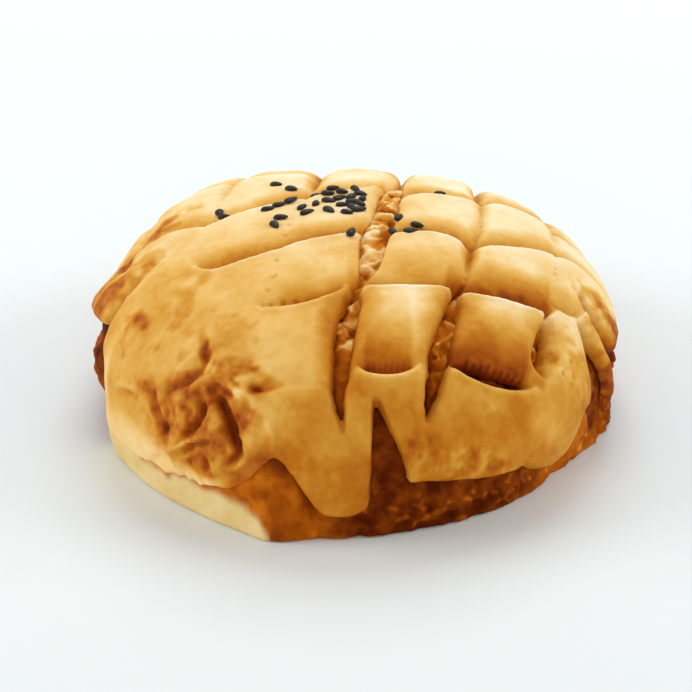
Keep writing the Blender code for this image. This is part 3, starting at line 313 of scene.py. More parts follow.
# ---- black sesame seeds: peeled p, q and heading in degrees -----------------
SEED_LONG = 3.1
SEED_WIDE = 1.75
SEED_HIGH = 1.15
SEED_SIDES = 14        # points round a seed
SEED_RINGS = 11        # rings along it
SEED_TAPER = 0.30      # how much blunter one end is than the other
SEEDS = [(-16.9, 21.9, -35), (-13.5, 17.9, -40), (-11.4, 12, 20), (-18.8, 10.4, 12), (-15.9, 8.2, 20),
         (-18.2, 6.4, 8), (-13.4, 10, 40), (-11, 7, 55), (-15.3, 1.5, -5), (-16.5, -1.6, -65),
         (-8.1, 7.5, 85), (-7.8, 14.6, 15), (-4.6, 17.6, 20), (-5.6, 12.4, -10), (-5.4, 8.4, -30),
         (-2.6, 5.6, 10), (-5.3, 3.2, -50), (-1.9, 16, 45), (-2.6, 13, -25), (-3.2, 9.7, 35),
         (0.2, 14.6, -60), (1.3, 12, -30), (-0.6, 10.3, 60), (1.7, 9, 75), (-0.3, 7.4, 5),
         (1.2, 6.2, -45), (-0.6, 4.4, -70), (0.9, 3.2, 15), (-1.6, 1.9, -20), (-0.7, -7.2, 75),
         (9.2, 1.2, 70), (7.9, -5, -65), (11.4, -5.9, 15), (12.9, -2, -15), (18.3, 15.6, 35),
         (-28.9, 10.6, -80), (-27.5, 6.3, -15), (-9.9, 3.4, 30)]


# ---- profile of the dome: radius and height by distance from the apex -------
def make_profile():
    """Distance from the apex down the side, then radius and height there."""
    turn = np.linspace(0.0, np.pi / 2, 1201)
    rad = RADIUS * np.sin(turn) ** (2.0 / ROUNDNESS)
    high = WIDEST + RISE * np.cos(turn) ** (2.0 / ROUNDNESS)
    fall = np.linspace(0.0, 1.4, 301)[1:]
    rad = np.append(rad, np.full(fall.shape, RADIUS))
    high = np.append(high, WIDEST * (1.0 - fall))
    run = np.append(0.0, np.cumsum(np.hypot(np.diff(rad), np.diff(high))))
    return run, rad, high


RUN, RAD, HIGH = make_profile()


def by_azimuth(table, azimuth):
    """Smoothed table of (azimuth, value), repeated round the circle."""
    deg = (np.degrees(azimuth) + 180.0) % 360.0 - 180.0
    xs, ys = zip(*table)
    total = 0.0
    for shift in (-1.2, -0.6, 0.0, 0.6, 1.2):
        at = (deg + shift + 180.0) % 360.0 - 180.0
        total = total + np.interp(at, xs, ys)
    return total / 5.0


def run_at_height(z):
    """Distance from the apex at which the side of the dome has height z."""
    return np.interp(-z, -HIGH, RUN)


def on_dome(p, q, lift):
    """Point in space over a peeled place on the upper dome, lift above it."""
    run, azimuth = math.hypot(p, q), math.atan2(q, p)
    at = np.clip(run + np.array([-0.4, 0.0, 0.4]), 0.0, None)
    rad, high = np.interp(at, RUN, RAD), np.interp(at, RUN, HIGH)
    along_r, along_z = rad[2] - rad[0], high[2] - high[0]
    length = math.hypot(along_r, along_z)
    rad = rad[1] - lift * along_z / length
    high = high[1] + lift * along_r / length
    return np.array([rad * math.cos(azimuth), rad * math.sin(azimuth), high])


# ---- uneven ground: smooth random waves ---------------------------------------
def lattice(ix, iy, iz, seed):
    """Random number in -1..1 for each whole-number point."""
    n = (ix.astype(np.int64) * 374761393 + iy.astype(np.int64) * 668265263
         + iz.astype(np.int64) * 2147483647 + seed * 1274126177)
    n = (n ^ (n >> 13)) * 1274126177
    n = (n ^ (n >> 16)) & 0xFFFF
    return n.astype(np.float32) / 32767.5 - 1.0


def wave(x, y, z, size, seed):
    """Smooth random waves about `size` millimetres across, from -1 to 1."""
    x, y, z = x / size, y / size, z / size
    ix, iy, iz = np.floor(x), np.floor(y), np.floor(z)
    fx, fy, fz = (f * f * (3 - 2 * f) for f in (x - ix, y - iy, z - iz))
    total = 0.0
    for dx, dy, dz in product((0, 1), repeat=3):
        weight = (fx if dx else 1 - fx) * (fy if dy else 1 - fy) * (fz if dz else 1 - fz)
        total = total + weight * lattice(ix + dx, iy + dy, iz + dz, seed)
    return total


def waves(x, y, z, layers):
    """Sum of layers of random waves."""
    return sum(height * wave(x, y, z, size, seed) for height, size, seed in layers)


def from_to(x, start, end):
    """Smooth step: 0 where x is at start or short of it, 1 from end on."""
    x = np.clip((x - start) / (end - start), 0.0, 1.0)
    return x * x * (3 - 2 * x)


# ---- peeled maps: everything that depends on the place on the crust ----------
AXIS = np.arange(-MAP_REACH, MAP_REACH + MAP_STEP, MAP_STEP)
MAP_P, MAP_Q = np.meshgrid(AXIS, AXIS, indexing="ij")
STILL = np.zeros(MAP_P.shape)


def smooth_line(line):
    """Corner-cut version of a traced line, so the score bends without corners."""
    rows = np.array([row + (0,) * (5 - len(row)) for row in line], float)
    for _ in range(2):
        cut_a = rows[:-1] * 0.75 + rows[1:] * 0.25
        cut_b = rows[:-1] * 0.25 + rows[1:] * 0.75
        mid = np.stack([cut_a, cut_b], 1).reshape(-1, rows.shape[1])
        rows = np.vstack([rows[:1], mid[1:-1], rows[-1:]])
    return rows


def line_maps(line):
    """Over the whole map: distance to a line, then its depth, half-width and fill
    at the nearest point, then 1 on its near side and -1 beyond it, then how far to
    the left of it the place lies."""
    rows = smooth_line(line)
    distance, side = STILL + FAR, STILL + 1.0
    depth, half, fill, left = (STILL.copy() for _ in range(4))
    for start, end in zip(rows[:-1], rows[1:]):
        (ap, aq), (bp, bq) = start[:2], end[:2]
        i0, i1 = np.searchsorted(AXIS, (min(ap, bp) - LINE_REACH, max(ap, bp) + LINE_REACH))
        j0, j1 = np.searchsorted(AXIS, (min(aq, bq) - LINE_REACH, max(aq, bq) + LINE_REACH))
        spot = (slice(i0, i1), slice(j0, j1))
        p, q = MAP_P[spot], MAP_Q[spot]
        vp, vq = bp - ap, bq - aq
        t = np.clip(((p - ap) * vp + (q - aq) * vq) / (vp * vp + vq * vq), 0.0, 1.0)
        d = np.hypot(p - ap - t * vp, q - aq - t * vq)
        closer = d < distance[spot]
        turn = (vp * (q - aq) - vq * (p - ap)) * (1.0 if vp > 0 else -1.0)
        here = [d, np.where(turn < 0, 1.0, -1.0), ap + t * vp - p]
        here += [a + t * (b - a) for a, b in zip(start[2:], end[2:])]
        for grid, value in zip((distance, side, left, depth, half, fill), here):
            grid[spot] = np.where(closer, value, grid[spot])
    return distance, depth, half, fill, side, left


def roll(x):
    """Round shoulder: 1 at the line, 0 beyond the shoulder, steep at the line."""
    x = np.clip(x, 0.0, 1.0)
    x = np.sqrt(x * x + 0.003) - 0.0548
    return 1.0 - np.sqrt(np.clip(1.0 - (1.0 - x) ** 2, 0.0, 1.0))


def bell(x):
    """1 in the middle, falling away smoothly on both sides."""
    return np.exp(-x ** 2)


def keep_most(maps, name, values):
    """Raises a map to these values wherever they are higher."""
    maps[name] = np.maximum(maps[name], values)


def press_score(maps, score, shoulder, ragged, fray, heap):
    """What every score has: its crease, the cut where it goes right through, brown on
    the edge of the cut and torn bread in it.  Gives how far off the edge a place is."""
    d, depth, half, rise = score[:4]
    through = half > CUT_THROUGH
    beside = np.clip(d - half, 0, FAR)
    keep_most(maps, "deep", depth * roll((d - half) / shoulder))
    maps["cut"] = np.minimum(maps["cut"], np.where(through, d - half + ragged, NO_CUT))
    keep_most(maps, "cut_brown", np.exp(-beside / fray) * np.clip(half / WIDE_CUT, 0, 1))
    keep_most(maps, "fill", rise * np.clip(1.0 - (d / (half + heap)) ** 4, 0, 1) * through)
    return beside


def score_long(maps):
    """The long scores and the wedge: both shoulders alike, torn bread in the cuts."""
    nearest = STILL + 6.0
    torn = waves(MAP_P, MAP_Q, STILL, TORN_EDGE)
    front_more = FRONT_CUT_MORE * from_to(MAP_Q, -19, -29)
    for order, (tone, line) in enumerate(LONG + [(WEDGE_TONE, WEDGE)]):
        score = line_maps(line)
        d, depth, half, _, _, left = score
        is_wedge, is_tear = line is WEDGE, order in SIDE_TEARS
        shoulder = ROLL_WEDGE if is_wedge else np.where(half > OPENED, ROLL_LONG, ROLL_SHUT)
        ragged = torn * (SMOOTH_WEDGE if is_wedge else 1.0) * np.clip(half / WIDE_CUT, 0, 1)
        beside = press_score(maps, score, shoulder, ragged, FRAY_LONG, HEAP_LONG)
        closer = d < nearest
        maps["cut_tone"] = np.where(closer, tone, maps["cut_tone"])
        in_shade = from_to(left / np.maximum(half, 0.5), 0.1, 0.7)
        maps["shaded_left_wall"] = np.where(closer, in_shade, maps["shaded_left_wall"])
        nearest = np.minimum(nearest, d)
        brown, reach, sharp = BESIDE_CUT
        brown = SIDE_TEAR_BROWN if is_tear else brown + front_more
        along_cut = brown * np.exp(-(beside / reach) ** sharp)
        brown, reach, sharp = BESIDE_SHUT
        along_shut = brown * np.exp(-(beside / reach) ** sharp)
        golden = np.where(half > OPENED, along_cut, along_shut)
        keep_most(maps, "golden", golden * np.clip(depth / DEEP_SCORE, 0, 1))
        if is_tear:
            keep_most(maps, "hollow", from_to(d - half, 0.6, -0.4) * (half > CUT_THROUGH))


def score_across(maps):
    """The cross scores: the far plate rolls down into them, the near one has a lip."""
    p, q = MAP_P, MAP_Q
    torn = 0.4 * waves(p, q, STILL, TORN_EDGE)
    for brown, reach, line in CROSS:
        score = line_maps(line)
        _, depth, half, _, side, _ = score
        near = side > 0
        shoulder = np.where(near, ROLL_NEAR, ROLL_FAR)
        beside = press_score(maps, score, shoulder, torn, FRAY_CROSS, HEAP_CROSS)
        keep_most(maps, "lip", NEAR_LIP * near * np.clip(depth / DEEP_SCORE, 0, 1.2)
                  * bell((beside - LIP_OUT) / LIP_WIDE))
        rows = smooth_line(line)
        line_q, line_depth = (np.interp(p, rows[:, 0], rows[:, k]) for k in (1, 2))
        behind = np.clip(q - line_q - half, 0, FAR)
        first, last = rows[0, 0], rows[-1, 0]
        within = from_to(p, first - 6.8, first - 2.8) * from_to(p, last + 6.8, last + 2.8)
        # the far wall rolled down into the score: browning and painted shade
        far_wall = (brown * np.clip(1.0 - behind / reach, 0.0, 1.0) ** 0.85 * within
                    * np.clip(line_depth / 2.0, 0, 1))
        near_wall = brown * np.clip(depth / 2.0, 0, 1) * bell(beside / FRAY_CROSS)
        keep_most(maps, "golden", np.where(q < line_q, near_wall, far_wall))


def crumple_side(maps):
    """The torn, crumpled patch: crevices, curls of loose skin and crags."""
    p, q = MAP_P, MAP_Q
    cp, cq, wide, tall = CRUMPLE
    far = np.hypot((p - cp) / wide, (q - cq) / tall) + waves(p, q, STILL, CRUMPLE_EDGE)
    crumple = 1.0 / (1.0 + np.exp((far - 0.93) / 0.08))
    wander = waves(p, q, STILL, FOLD_EDGE)
    for line in FOLDS:
        d, depth, half = line_maps(line)[:3]
        swell = bell((d + wander) / np.maximum(half, 0.3))
        maps["fold"] = maps["fold"] - FOLD_DEPTH * depth * swell
        keep_most(maps, "crevice", np.clip(depth, 0, 9) * swell)
        keep_most(maps, "curl", np.clip(-depth, 0, 9) * swell)
    crag = (0.7 * (1 - 2 * np.abs(wave(p, q, STILL, 6.0, 21)))
            + 0.6 * (1 - 2 * np.abs(wave(p, q, STILL, 3.0, 22)))
            + 0.35 * wave(p, q, STILL, 1.5, 23))
    maps["fold"] = maps["fold"] + CRAG_HEIGHT * crag * crumple
    maps["web"] = from_to(crag, 0.15, -0.55) * crumple


def brown_patches(rows, softness, ragged):
    """Ragged-edged oval patches, the strongest of them at each place."""
    total = STILL
    rough = ragged * waves(MAP_P, MAP_Q, STILL, PATCH_EDGE)
    for cp, cq, long, wide, heading, amount in rows:
        ahead, aside = math.cos(math.radians(heading)), math.sin(math.radians(heading))
        along = (MAP_P - cp) * ahead + (MAP_Q - cq) * aside
        across = (MAP_Q - cq) * ahead - (MAP_P - cp) * aside
        d = np.hypot(along / long, across / wide) + rough
        soft = softness + 0.10 / min(wide, 2.0)
        total = np.maximum(total, amount / (1.0 + np.exp(np.clip((d - 0.95) / soft, -30, 30))))
    return total


def prick_rows(maps):
    """Rows of pricked dots, and ribs that run up the crust in the deep scores."""
    for (ap, aq), (bp, bq), spacing, tall in PRICKS:
        count = max(2, int(round(math.hypot(bp - ap, bq - aq) / spacing)))
        for k in range(count + 1):
            t = k / count
            dot = np.hypot((MAP_P - (ap + t * (bp - ap))) / PRICK_WIDE,
                           (MAP_Q - (aq + t * (bq - aq))) / tall)
            keep_most(maps, "prick", bell(dot))


def shape_crust(maps):
    """The crust's top and lower edge and the bread's surface, over the dome."""
    p, q = MAP_P, MAP_Q
    run, azimuth = np.hypot(p, q), np.arctan2(q, p)
    az_deg = np.degrees(azimuth)
    high = np.interp(run, RUN, HIGH)
    base = sum(height * np.exp(-((p - sp) ** 2 + (q - sq) ** 2) / spread ** 2)
               for sp, sq, spread, height in SWELLS)
    bed = base - (SKIN + (SKIN_LOW - SKIN) * from_to(run, SIDE_FROM, SIDE_FROM + 24))
    uneven = waves(p, q, STILL, UNEVEN_TOP) - SIDE_DROP * from_to(run, SIDE_FROM, SIDE_FROM + 14)
    sunk = 0.3 * maps["patch"] * (0.7 + wave(p, q, STILL, 1.8, 33))
    top = (base + PLATE_SWELL - maps["deep"] + maps["lip"] + maps["fold"] + uneven
           - 0.5 * maps["prick"] - sunk)
    top = np.maximum(top, bed + GAP + WEB + 0.15 * wave(p, q, STILL, 1.6, 43))

    edge_high = by_azimuth(EDGE, azimuth)
    soft_side = from_to(az_deg, -157, -152) * from_to(az_deg, -98, -103)
    edge = run - run_at_height(edge_high) + (0.30 - 0.2 * soft_side) * wave(p, q, STILL, 4.0, 51)
    top = top - 0.6 * soft_side * from_to(edge, -9, 0)
    lobe = from_to(np.abs(az_deg), 158, 164)
    bare_from = edge_high - 0.4 + 1.9 * soft_side - 4.5 * lobe
    bare = from_to(high, bare_from, bare_from - (4.0 - 3.0 * soft_side - 1.5 * lobe))
    hollow = maps["hollow"] * from_to(high, 0.5, 4.5)
    bare = bare * (1.0 - hollow)
    pale = run - by_azimuth(PALE, azimuth) + 0.9 * wave(p, q, STILL, 3.0, 52)
    maps.update(top=top, bed=bed, edge=edge, bare=bare, soft_side=soft_side, hollow=hollow,
                bread=bed + bare * (SKIN_LOW - 0.45 + 0.65 * soft_side),
                pale=from_to(pale, -1.2, 1.2), shade=from_to(maps["deep"], 1.0, 2.8))


def make_maps():
    """Heights over the dome, the open cuts, the browning and the painted shade and highlights, by name.
    """
    maps = dict.fromkeys(("deep", "golden", "cut_brown", "fill", "lip", "hollow", "shaded_left_wall",
                          "fold", "crevice", "curl", "prick"), STILL)
    maps["cut"] = STILL + NO_CUT
    maps["cut_tone"] = STILL + CROSS_SHADOW_TONE
    maps["patch"] = np.maximum(brown_patches(BROAD, 0.24, 0.7), brown_patches(PATCHES, 0.16, 0.5))
    for step in (score_long, score_across, crumple_side, prick_rows, shape_crust):
        step(maps)
    return {name: grid.astype(np.float32) for name, grid in maps.items()}


def slope_of(grid):
    """How much longer the slope of a map is than its plan, at each point."""
    gp, gq = np.gradient(grid, MAP_STEP)
    return np.sqrt(1.0 + np.clip(gp * gp + gq * gq, 0, 16.0)).astype(np.float32)


MAPS = make_maps()
MAPS["top_slope"] = slope_of(MAPS["top"])


def reader(p, q):
    """A function that reads any of the maps, by name, at these peeled places."""
    i = np.clip((p + MAP_REACH) / MAP_STEP, 0, len(AXIS) - 1.001)
    j = np.clip((q + MAP_REACH) / MAP_STEP, 0, len(AXIS) - 1.001)
    i0, j0 = i.astype(np.int32), j.astype(np.int32)
    fi, fj = (i - i0).astype(np.float32), (j - j0).astype(np.float32)
    at = i0 * len(AXIS) + j0

    def read(name):
        flat = MAPS[name].ravel()
        low = flat[at] * (1 - fj) + flat[at + 1] * fj
        up = flat[at + len(AXIS)] * (1 - fj) + flat[at + len(AXIS) + 1] * fj
        return low * (1 - fi) + up * fi

    return read


# ---- from a point in space to (run, lift) over the dome -----------------------
NEAR_STEP = 0.4
NEAR_R = np.arange(0.0, 66.0, NEAR_STEP)
NEAR_Z = np.arange(-4.0, 52.0, NEAR_STEP)


def make_near_tables():
    """Run and lift of every point of a grid of radius and height."""
    grid_r, grid_z = np.meshgrid(NEAR_R, NEAR_Z, indexing="ij")
    best = np.full(grid_r.shape, 1e9)
    run = np.zeros(grid_r.shape)
    for k in range(0, len(RUN), 3):
        d = (grid_r - RAD[k]) ** 2 + (grid_z - HIGH[k]) ** 2
        closer = d < best
        best = np.where(closer, d, best)
        run = np.where(closer, RUN[k], run)
    above = np.clip(grid_z - WIDEST, 0, None)
    inner = np.where(grid_z > WIDEST,
                     (grid_r / RADIUS) ** ROUNDNESS + (above / RISE) ** ROUNDNESS < 1.0,
                     grid_r < RADIUS)
    lift = np.sqrt(best) * np.where(inner, -1.0, 1.0)
    return run.astype(np.float32), lift.astype(np.float32)


NEAR_RUN, NEAR_LIFT = make_near_tables()


def over_dome(x, y, z):
    """Peeled p, q and lift over the dome for points in space."""
    azimuth = np.arctan2(y, x)
    low = np.clip((WIDEST - z) / WIDEST, 0.0, 1.0)
    rad = np.hypot(x, y) - (by_azimuth(FOOT, azimuth) - RADIUS) * low ** FOOT_BEND
    i = np.clip(rad / NEAR_STEP, 0, len(NEAR_R) - 1.001)
    j = np.clip((z - NEAR_Z[0]) / NEAR_STEP, 0, len(NEAR_Z) - 1.001)
    i0, j0 = i.astype(np.int32), j.astype(np.int32)
    fi, fj = i - i0, j - j0
    run, lift = ((grid[i0, j0] * (1 - fj) + grid[i0, j0 + 1] * fj) * (1 - fi)
                 + (grid[i0 + 1, j0] * (1 - fj) + grid[i0 + 1, j0 + 1] * fj) * fi
                 for grid in (NEAR_RUN, NEAR_LIFT))
    run, lift = run.astype(np.float32), lift.astype(np.float32)
    return run * np.cos(azimuth), run * np.sin(azimuth), lift


# ---- solid bodies from a distance field -----------------------------------------
def rounded_corner(a, b, radius):
    """Inside where both a and b are negative, with their corner rounded."""
    a, b = a + radius, b + radius
    outer = np.sqrt(np.clip(a, 0, None) ** 2 + np.clip(b, 0, None) ** 2)
    return np.minimum(np.maximum(a, b), 0.0) + outer - radius


def crust_field(p, q, lift, *_):
    """Negative inside the crust: under its top, over its bed, clear of the cuts."""
    read = reader(p, q)
    top = (lift - read("top")) / read("top_slope")
    cut = -read("cut") - 0.15 * np.clip(-top, 0.0, 4.0)
    solid = rounded_corner(top, cut, CUT_LIP)
    solid = rounded_corner(solid, read("edge"), LIP - (LIP - LIP_PALE) * read("soft_side"))
    return rounded_corner(solid, read("bed") + GAP - lift, UNDER_LIP)


def torn_bumps(x, y, z):
    """Torn crumb: bent threads and knobs of dough one to three millimetres across,
    about 1 along the crest of a thread and -1 in the pits between."""
    x, y, z = 0.80 * x + 0.48 * y + 0.36 * z, 0.64 * y - 0.60 * x + 0.48 * z, 0.80 * z - 0.60 * y
    x = x + 1.3 * wave(x, y, z, 2.6, 81)
    y = y + 1.3 * wave(x, y, z, 2.6, 82)
    thread = 1.0 - 3.2 * np.abs(wave(x, y, z, 2.9, 61))
    small = 1.0 - 3.0 * np.abs(wave(x, y, z, 1.5, 62))
    return 0.60 * thread + 0.34 * small + 0.25 * wave(x, y, z, 4.5, 63)


def bread_field(p, q, lift, x, y, z):
    """Negative inside the bread, which is roughest where it stands torn in a cut."""
    read = reader(p, q)
    fill = read("fill")
    strength = (0.10 + 0.85 * np.clip(fill / 1.2, 0, 1)
                + 0.30 * read("bare") * (1.0 - read("pale")) * (1.0 - 0.75 * read("soft_side")))
    top = lift - read("bread") - fill - strength * (torn_bumps(x, y, z) - 0.1)
    return rounded_corner(top, -z, FOOT_ROUND)


def sample_field(field_of, axes, core):
    """A field on a grid, worked out only near the dome; further in it is core."""
    field = np.empty([len(axis) for axis in axes], np.float32)
    y, z = np.meshgrid(axes[1], axes[2], indexing="ij")
    for k, across in enumerate(axes[0]):
        x = np.full(y.shape, across)
        p, q, lift = over_dome(x, y, z)
        near = (lift > -8.0) & (lift < 4.0) | (z < 2.0)
        field[k] = np.where(lift > 0, 1.0, core)
        field[k][near] = field_of(*(grid[near] for grid in (p, q, lift, x, y, z)))
    return field


def net_points(field, cells):
    """One point for each cell, at the mean of the crossings on its edges."""
    total = np.zeros((len(cells), 3))
    hits = np.zeros(len(cells))
    for axis, a, b in product(range(3), (0, 1), (0, 1)):
        start = cells + np.insert((a, b), axis, 0)
        end = start + np.eye(3, dtype=int)[axis]
        f0, f1 = field[tuple(start.T)], field[tuple(end.T)]
        cross = (f0 < 0) != (f1 < 0)
        spot = start[cross].astype(float)
        spot[:, axis] += f0[cross] / (f0[cross] - f1[cross])
        total[cross] += spot
        hits[cross] += 1
    return total / hits[:, None]


def net_quads(inside, number):
    """One quad round each grid edge that the surface passes through."""
    quads = []
    for axis in range(3):
        others = [k for k in range(3) if k != axis]
        at = np.argwhere(np.diff(inside, axis=axis))
        at = at[(at[:, others[0]] > 0) & (at[:, others[1]] > 0)]
        starts_in = inside[tuple(at.T)]
        corners = [number[tuple((at - np.insert(back, axis, 0)).T)]
                   for back in ((1, 1), (0, 1), (0, 0), (1, 0))]
        quad = np.stack(corners, -1)
        flip = starts_in if axis != 1 else ~starts_in
        quad[~flip] = quad[~flip][:, ::-1]
        quads.append(quad)
    return np.vstack(quads)


def mesh_piece(name, points, faces):
    """A smooth-shaded piece from points in millimetres."""
    mesh = bpy.data.meshes.new(name)
    mesh.from_pydata((points * MM).astype(np.float32), [], faces)
    mesh.validate()
    mesh.polygons.foreach_set("use_smooth", np.ones(len(mesh.polygons), bool))
    obj = bpy.data.objects.new(name, mesh)
    bpy.context.scene.collection.objects.link(obj)
    return obj


def solid_piece(name, field_of, low, high, core):
    """A piece round the zero level of a field, between two corners of a box: one
    point for each cell that the level passes through."""
    axes = [np.arange(low[k] - 2 * VOXEL, high[k] + 3 * VOXEL, VOXEL) for k in range(3)]
    field = sample_field(field_of, axes, core)
    inside = field < 0
    count = sum(inside[dx:len(axes[0]) - 1 + dx, dy:len(axes[1]) - 1 + dy,
                       dz:len(axes[2]) - 1 + dz].astype(np.int8)
                for dx, dy, dz in product((0, 1), repeat=3))
    cells = np.argwhere((count > 0) & (count < 8))
    number = np.full(count.shape, -1, np.int32)
    number[tuple(cells.T)] = np.arange(len(cells))
    points = np.array([axis[0] for axis in axes]) + net_points(field, cells) * VOXEL
    points[:, 2] = np.maximum(points[:, 2], 0.0)
    return mesh_piece(name, points, net_quads(inside, number))


def peel(obj):
    """Points of a piece in millimetres, and their peeled p, q and lift."""
    flat = np.empty(len(obj.data.vertices) * 3, np.float32)
    obj.data.vertices.foreach_get("co", flat)
    x, y, z = (flat.reshape(-1, 3).astype(float) / MM).T
    return x, y, z, *over_dome(x, y, z)


def write_mask(obj, name, values):
    """Values from 0 to 1 at the points, which a material reads by this name."""
    layer = obj.data.attributes.new(name, "FLOAT", "POINT")
    layer.data.foreach_set("value", np.clip(values, 0, 1).astype(np.float32))


def thin_hidden(obj, hidden, share):
    """Takes this share of the triangles away where the piece is covered, and none
    where it shows."""
    group = obj.vertex_groups.new(name="covered")
    group.add(np.nonzero(hidden)[0].tolist(), 1.0, "REPLACE")
    thin = obj.modifiers.new("thin_hidden", "DECIMATE")
    thin.ratio = 1.0 - hidden.mean() * share
    thin.vertex_group = "covered"
    shape = obj.evaluated_get(bpy.context.evaluated_depsgraph_get())
    mesh = bpy.data.meshes.new_from_object(shape)
    obj.modifiers.clear()
    obj.data = mesh
    obj.vertex_groups.clear()
    mesh.polygons.foreach_set("use_smooth", np.ones(len(mesh.polygons), bool))
    for vertex in mesh.vertices:
        vertex.co.z = max(vertex.co.z, 0.0)


# ---- materials --------------------------------------------------------------
def srgb(text):
    """sRGB hex to linear colour."""
    parts = [int(text[k:k + 2], 16) / 255 for k in (1, 3, 5)]
    linear = [c / 12.92 if c <= 0.04045 else ((c + 0.055) / 1.055) ** 2.4 for c in parts]
    return (*linear, 1.0)


def per_mm(size):
    """Scale of a texture whose pattern is this many millimetres across."""
    return 1.0 / (size * MM)


def set_stops(ramp, stops):
    """Colour stops of a ramp, as (place, sRGB hex)."""
    while len(ramp.elements) > 1:
        ramp.elements.remove(ramp.elements[-1])
    for number, (place, text) in enumerate(stops):
        stop = ramp.elements.new(place) if number else ramp.elements[0]
        stop.position, stop.color = place, srgb(text)


def connect(tree, made, **links):
    """Links into the sockets of a node; i0, i1 and so on are sockets by number."""
    for key, source in links.items():
        numbered = key[0] == "i" and key[1:].isdigit()
        socket = made.inputs[int(key[1:]) if numbered else key.replace("_", " ")]
        tree.links.new(source, socket)


def node(tree, kind, settings, **links):
    """One shader node with its settings (attributes, socket values, the stops of a
    ramp) and its links."""
    made = tree.nodes.new("ShaderNode" + kind)
    for key, value in settings.items():
        if key == "stops":
            set_stops(made.color_ramp, value)
        elif key in made.inputs:
            made.inputs[key].default_value = value
        elif key.isdigit():
            made.inputs[int(key)].default_value = value
        else:
            setattr(made, key, value)
    connect(tree, made, **links)
    return made


def new_material(name, finish):
    """A material whose surface has these values all over."""
    mat = bpy.data.materials.new(name)
    mat.use_nodes = True
    surface = mat.node_tree.nodes["Principled BSDF"]
    for socket, value in finish.items():
        surface.inputs[socket].default_value = value
    return mat, mat.node_tree, surface


def finish_surface(tree, surface, colour, grain, rough, bumps):
    """Gives a surface its colour, a roughness that goes with the grain from one value
    to another, and bumps on bumps: pattern, strength, height in millimetres."""
    dull = node(tree, "MapRange", {"To Min": rough[0], "To Max": rough[1]}, Value=grain)
    below = {}
    for pattern, strength, height in bumps:
        bump = node(tree, "Bump", {"Strength": strength, "Distance": height * MM},
                    Height=pattern, **below)
        below = {"Normal": bump.outputs["Normal"]}
    connect(tree, surface, Base_Color=colour, Roughness=dull.outputs["Result"], **below)


def baked_cookie_dough():
    """Sugar cookie dough baked golden: matt to satin, cream on the crowns of the plates,
    toffee-gold where they roll into a score, partly as painted shade, fox-brown at open
    edges; painted shade down the cuts and a painted highlight on the score lips."""
    mat, tree, surface = new_material("baked_cookie_dough", {
        "IOR": 1.45, "Specular IOR Level": 0.10, "Subsurface Weight": 0.06,
        "Subsurface Radius": (1.0, 0.5, 0.25), "Subsurface Scale": 1.2 * MM})
    at = node(tree, "TexCoord", {}).outputs["Object"]
    toast_and_painted_light = node(tree, "Attribute", {"attribute_name": "toast_and_painted_light"}).outputs["Fac"]
    ruddy = node(tree, "Attribute", {"attribute_name": "ruddy"}).outputs["Fac"]
    mottle, speck, pore, crackle = (
        node(tree, "TexNoise", {"Scale": per_mm(size), "Detail": detail, "Roughness": rough},
             Vector=at).outputs["Fac"]
        for size, detail, rough in ((8, 5, 0.62), (1.3, 3, 0.6), (0.9, 5, 0.65), (4, 4, 0.5)))
    shift = node(tree, "Math", {"operation": "MULTIPLY_ADD", "1": 0.20, "2": -0.14}, i0=mottle)
    fine = node(tree, "Math", {"operation": "MULTIPLY_ADD", "1": 0.09},
                i0=speck, i2=shift.outputs[0])
    browned = node(tree, "Math", {"operation": "ADD", "use_clamp": True},
                   i0=toast_and_painted_light, i1=fine.outputs[0])
    colour = node(tree, "ValToRGB", {"stops": [
        (0.00, "#FCEBCA"), (0.14, "#F3D59C"), (0.30, "#E6B763"), (0.44, "#D59A38"),
        (0.57, "#C07616"), (0.70, "#A85408"), (0.84, "#833402"), (1.00, "#481600")]},
        Fac=browned.outputs[0])
    warmed = node(tree, "Mix", {"data_type": "RGBA", "7": srgb("#D8843E")},
                  i0=ruddy, i6=colour.outputs["Color"])
    finish_surface(tree, surface, warmed.outputs[2], speck, (0.46, 0.66),
                   [(crackle, 0.35, 0.7), (pore, 0.30, 0.25)])
    return mat


def browned_bread():
    """Enriched wheat bread: deep brown where the oven reached it and darker still where
    shade is painted in the cuts, the side hollows and under the crust's overhang, torn crumb
    with straw-coloured curls in the cuts, one side left pale and smooth."""
    mat, tree, surface = new_material("browned_bread",
                                      {"IOR": 1.45, "Specular IOR Level": 0.04})
    at = node(tree, "TexCoord", {}).outputs["Object"]
    tone = node(tree, "Attribute", {"attribute_name": "tone"}).outputs["Fac"]
    pale = node(tree, "Attribute", {"attribute_name": "pale"}).outputs["Fac"]
    tear, broad, pore = (
        node(tree, "TexNoise", {"Scale": per_mm(size), "Detail": detail, "Roughness": rough},
             Vector=at).outputs["Fac"]
        for size, detail, rough in ((2, 5, 0.6), (8, 4, 0.5), (1, 5, 0.5)))
    shift = node(tree, "Math", {"operation": "MULTIPLY_ADD", "1": 0.30, "2": -0.15}, i0=tear)
    toned = node(tree, "Math", {"operation": "ADD", "use_clamp": True},
                 i0=tone, i1=shift.outputs[0])
    brown = node(tree, "ValToRGB", {"stops": [
        (0.00, "#3A1000"), (0.15, "#5E2000"), (0.30, "#863C04"), (0.45, "#AA5606"),
        (0.60, "#C87018"), (0.74, "#DA983E"), (0.87, "#F0C47A"), (1.00, "#F6E0B2")]},
        Fac=toned.outputs[0])
    light = node(tree, "ValToRGB", {"stops": [(0.30, "#DABC7A"), (0.70, "#E8D39C")]}, Fac=broad)
    final = node(tree, "Mix", {"data_type": "RGBA"}, i0=pale, i6=brown.outputs["Color"],
                 i7=light.outputs["Color"])
    finish_surface(tree, surface, final.outputs[2], tear, (0.55, 0.80),
                   [(tear, 0.45, 0.7), (pore, 0.35, 0.3)])
    return mat


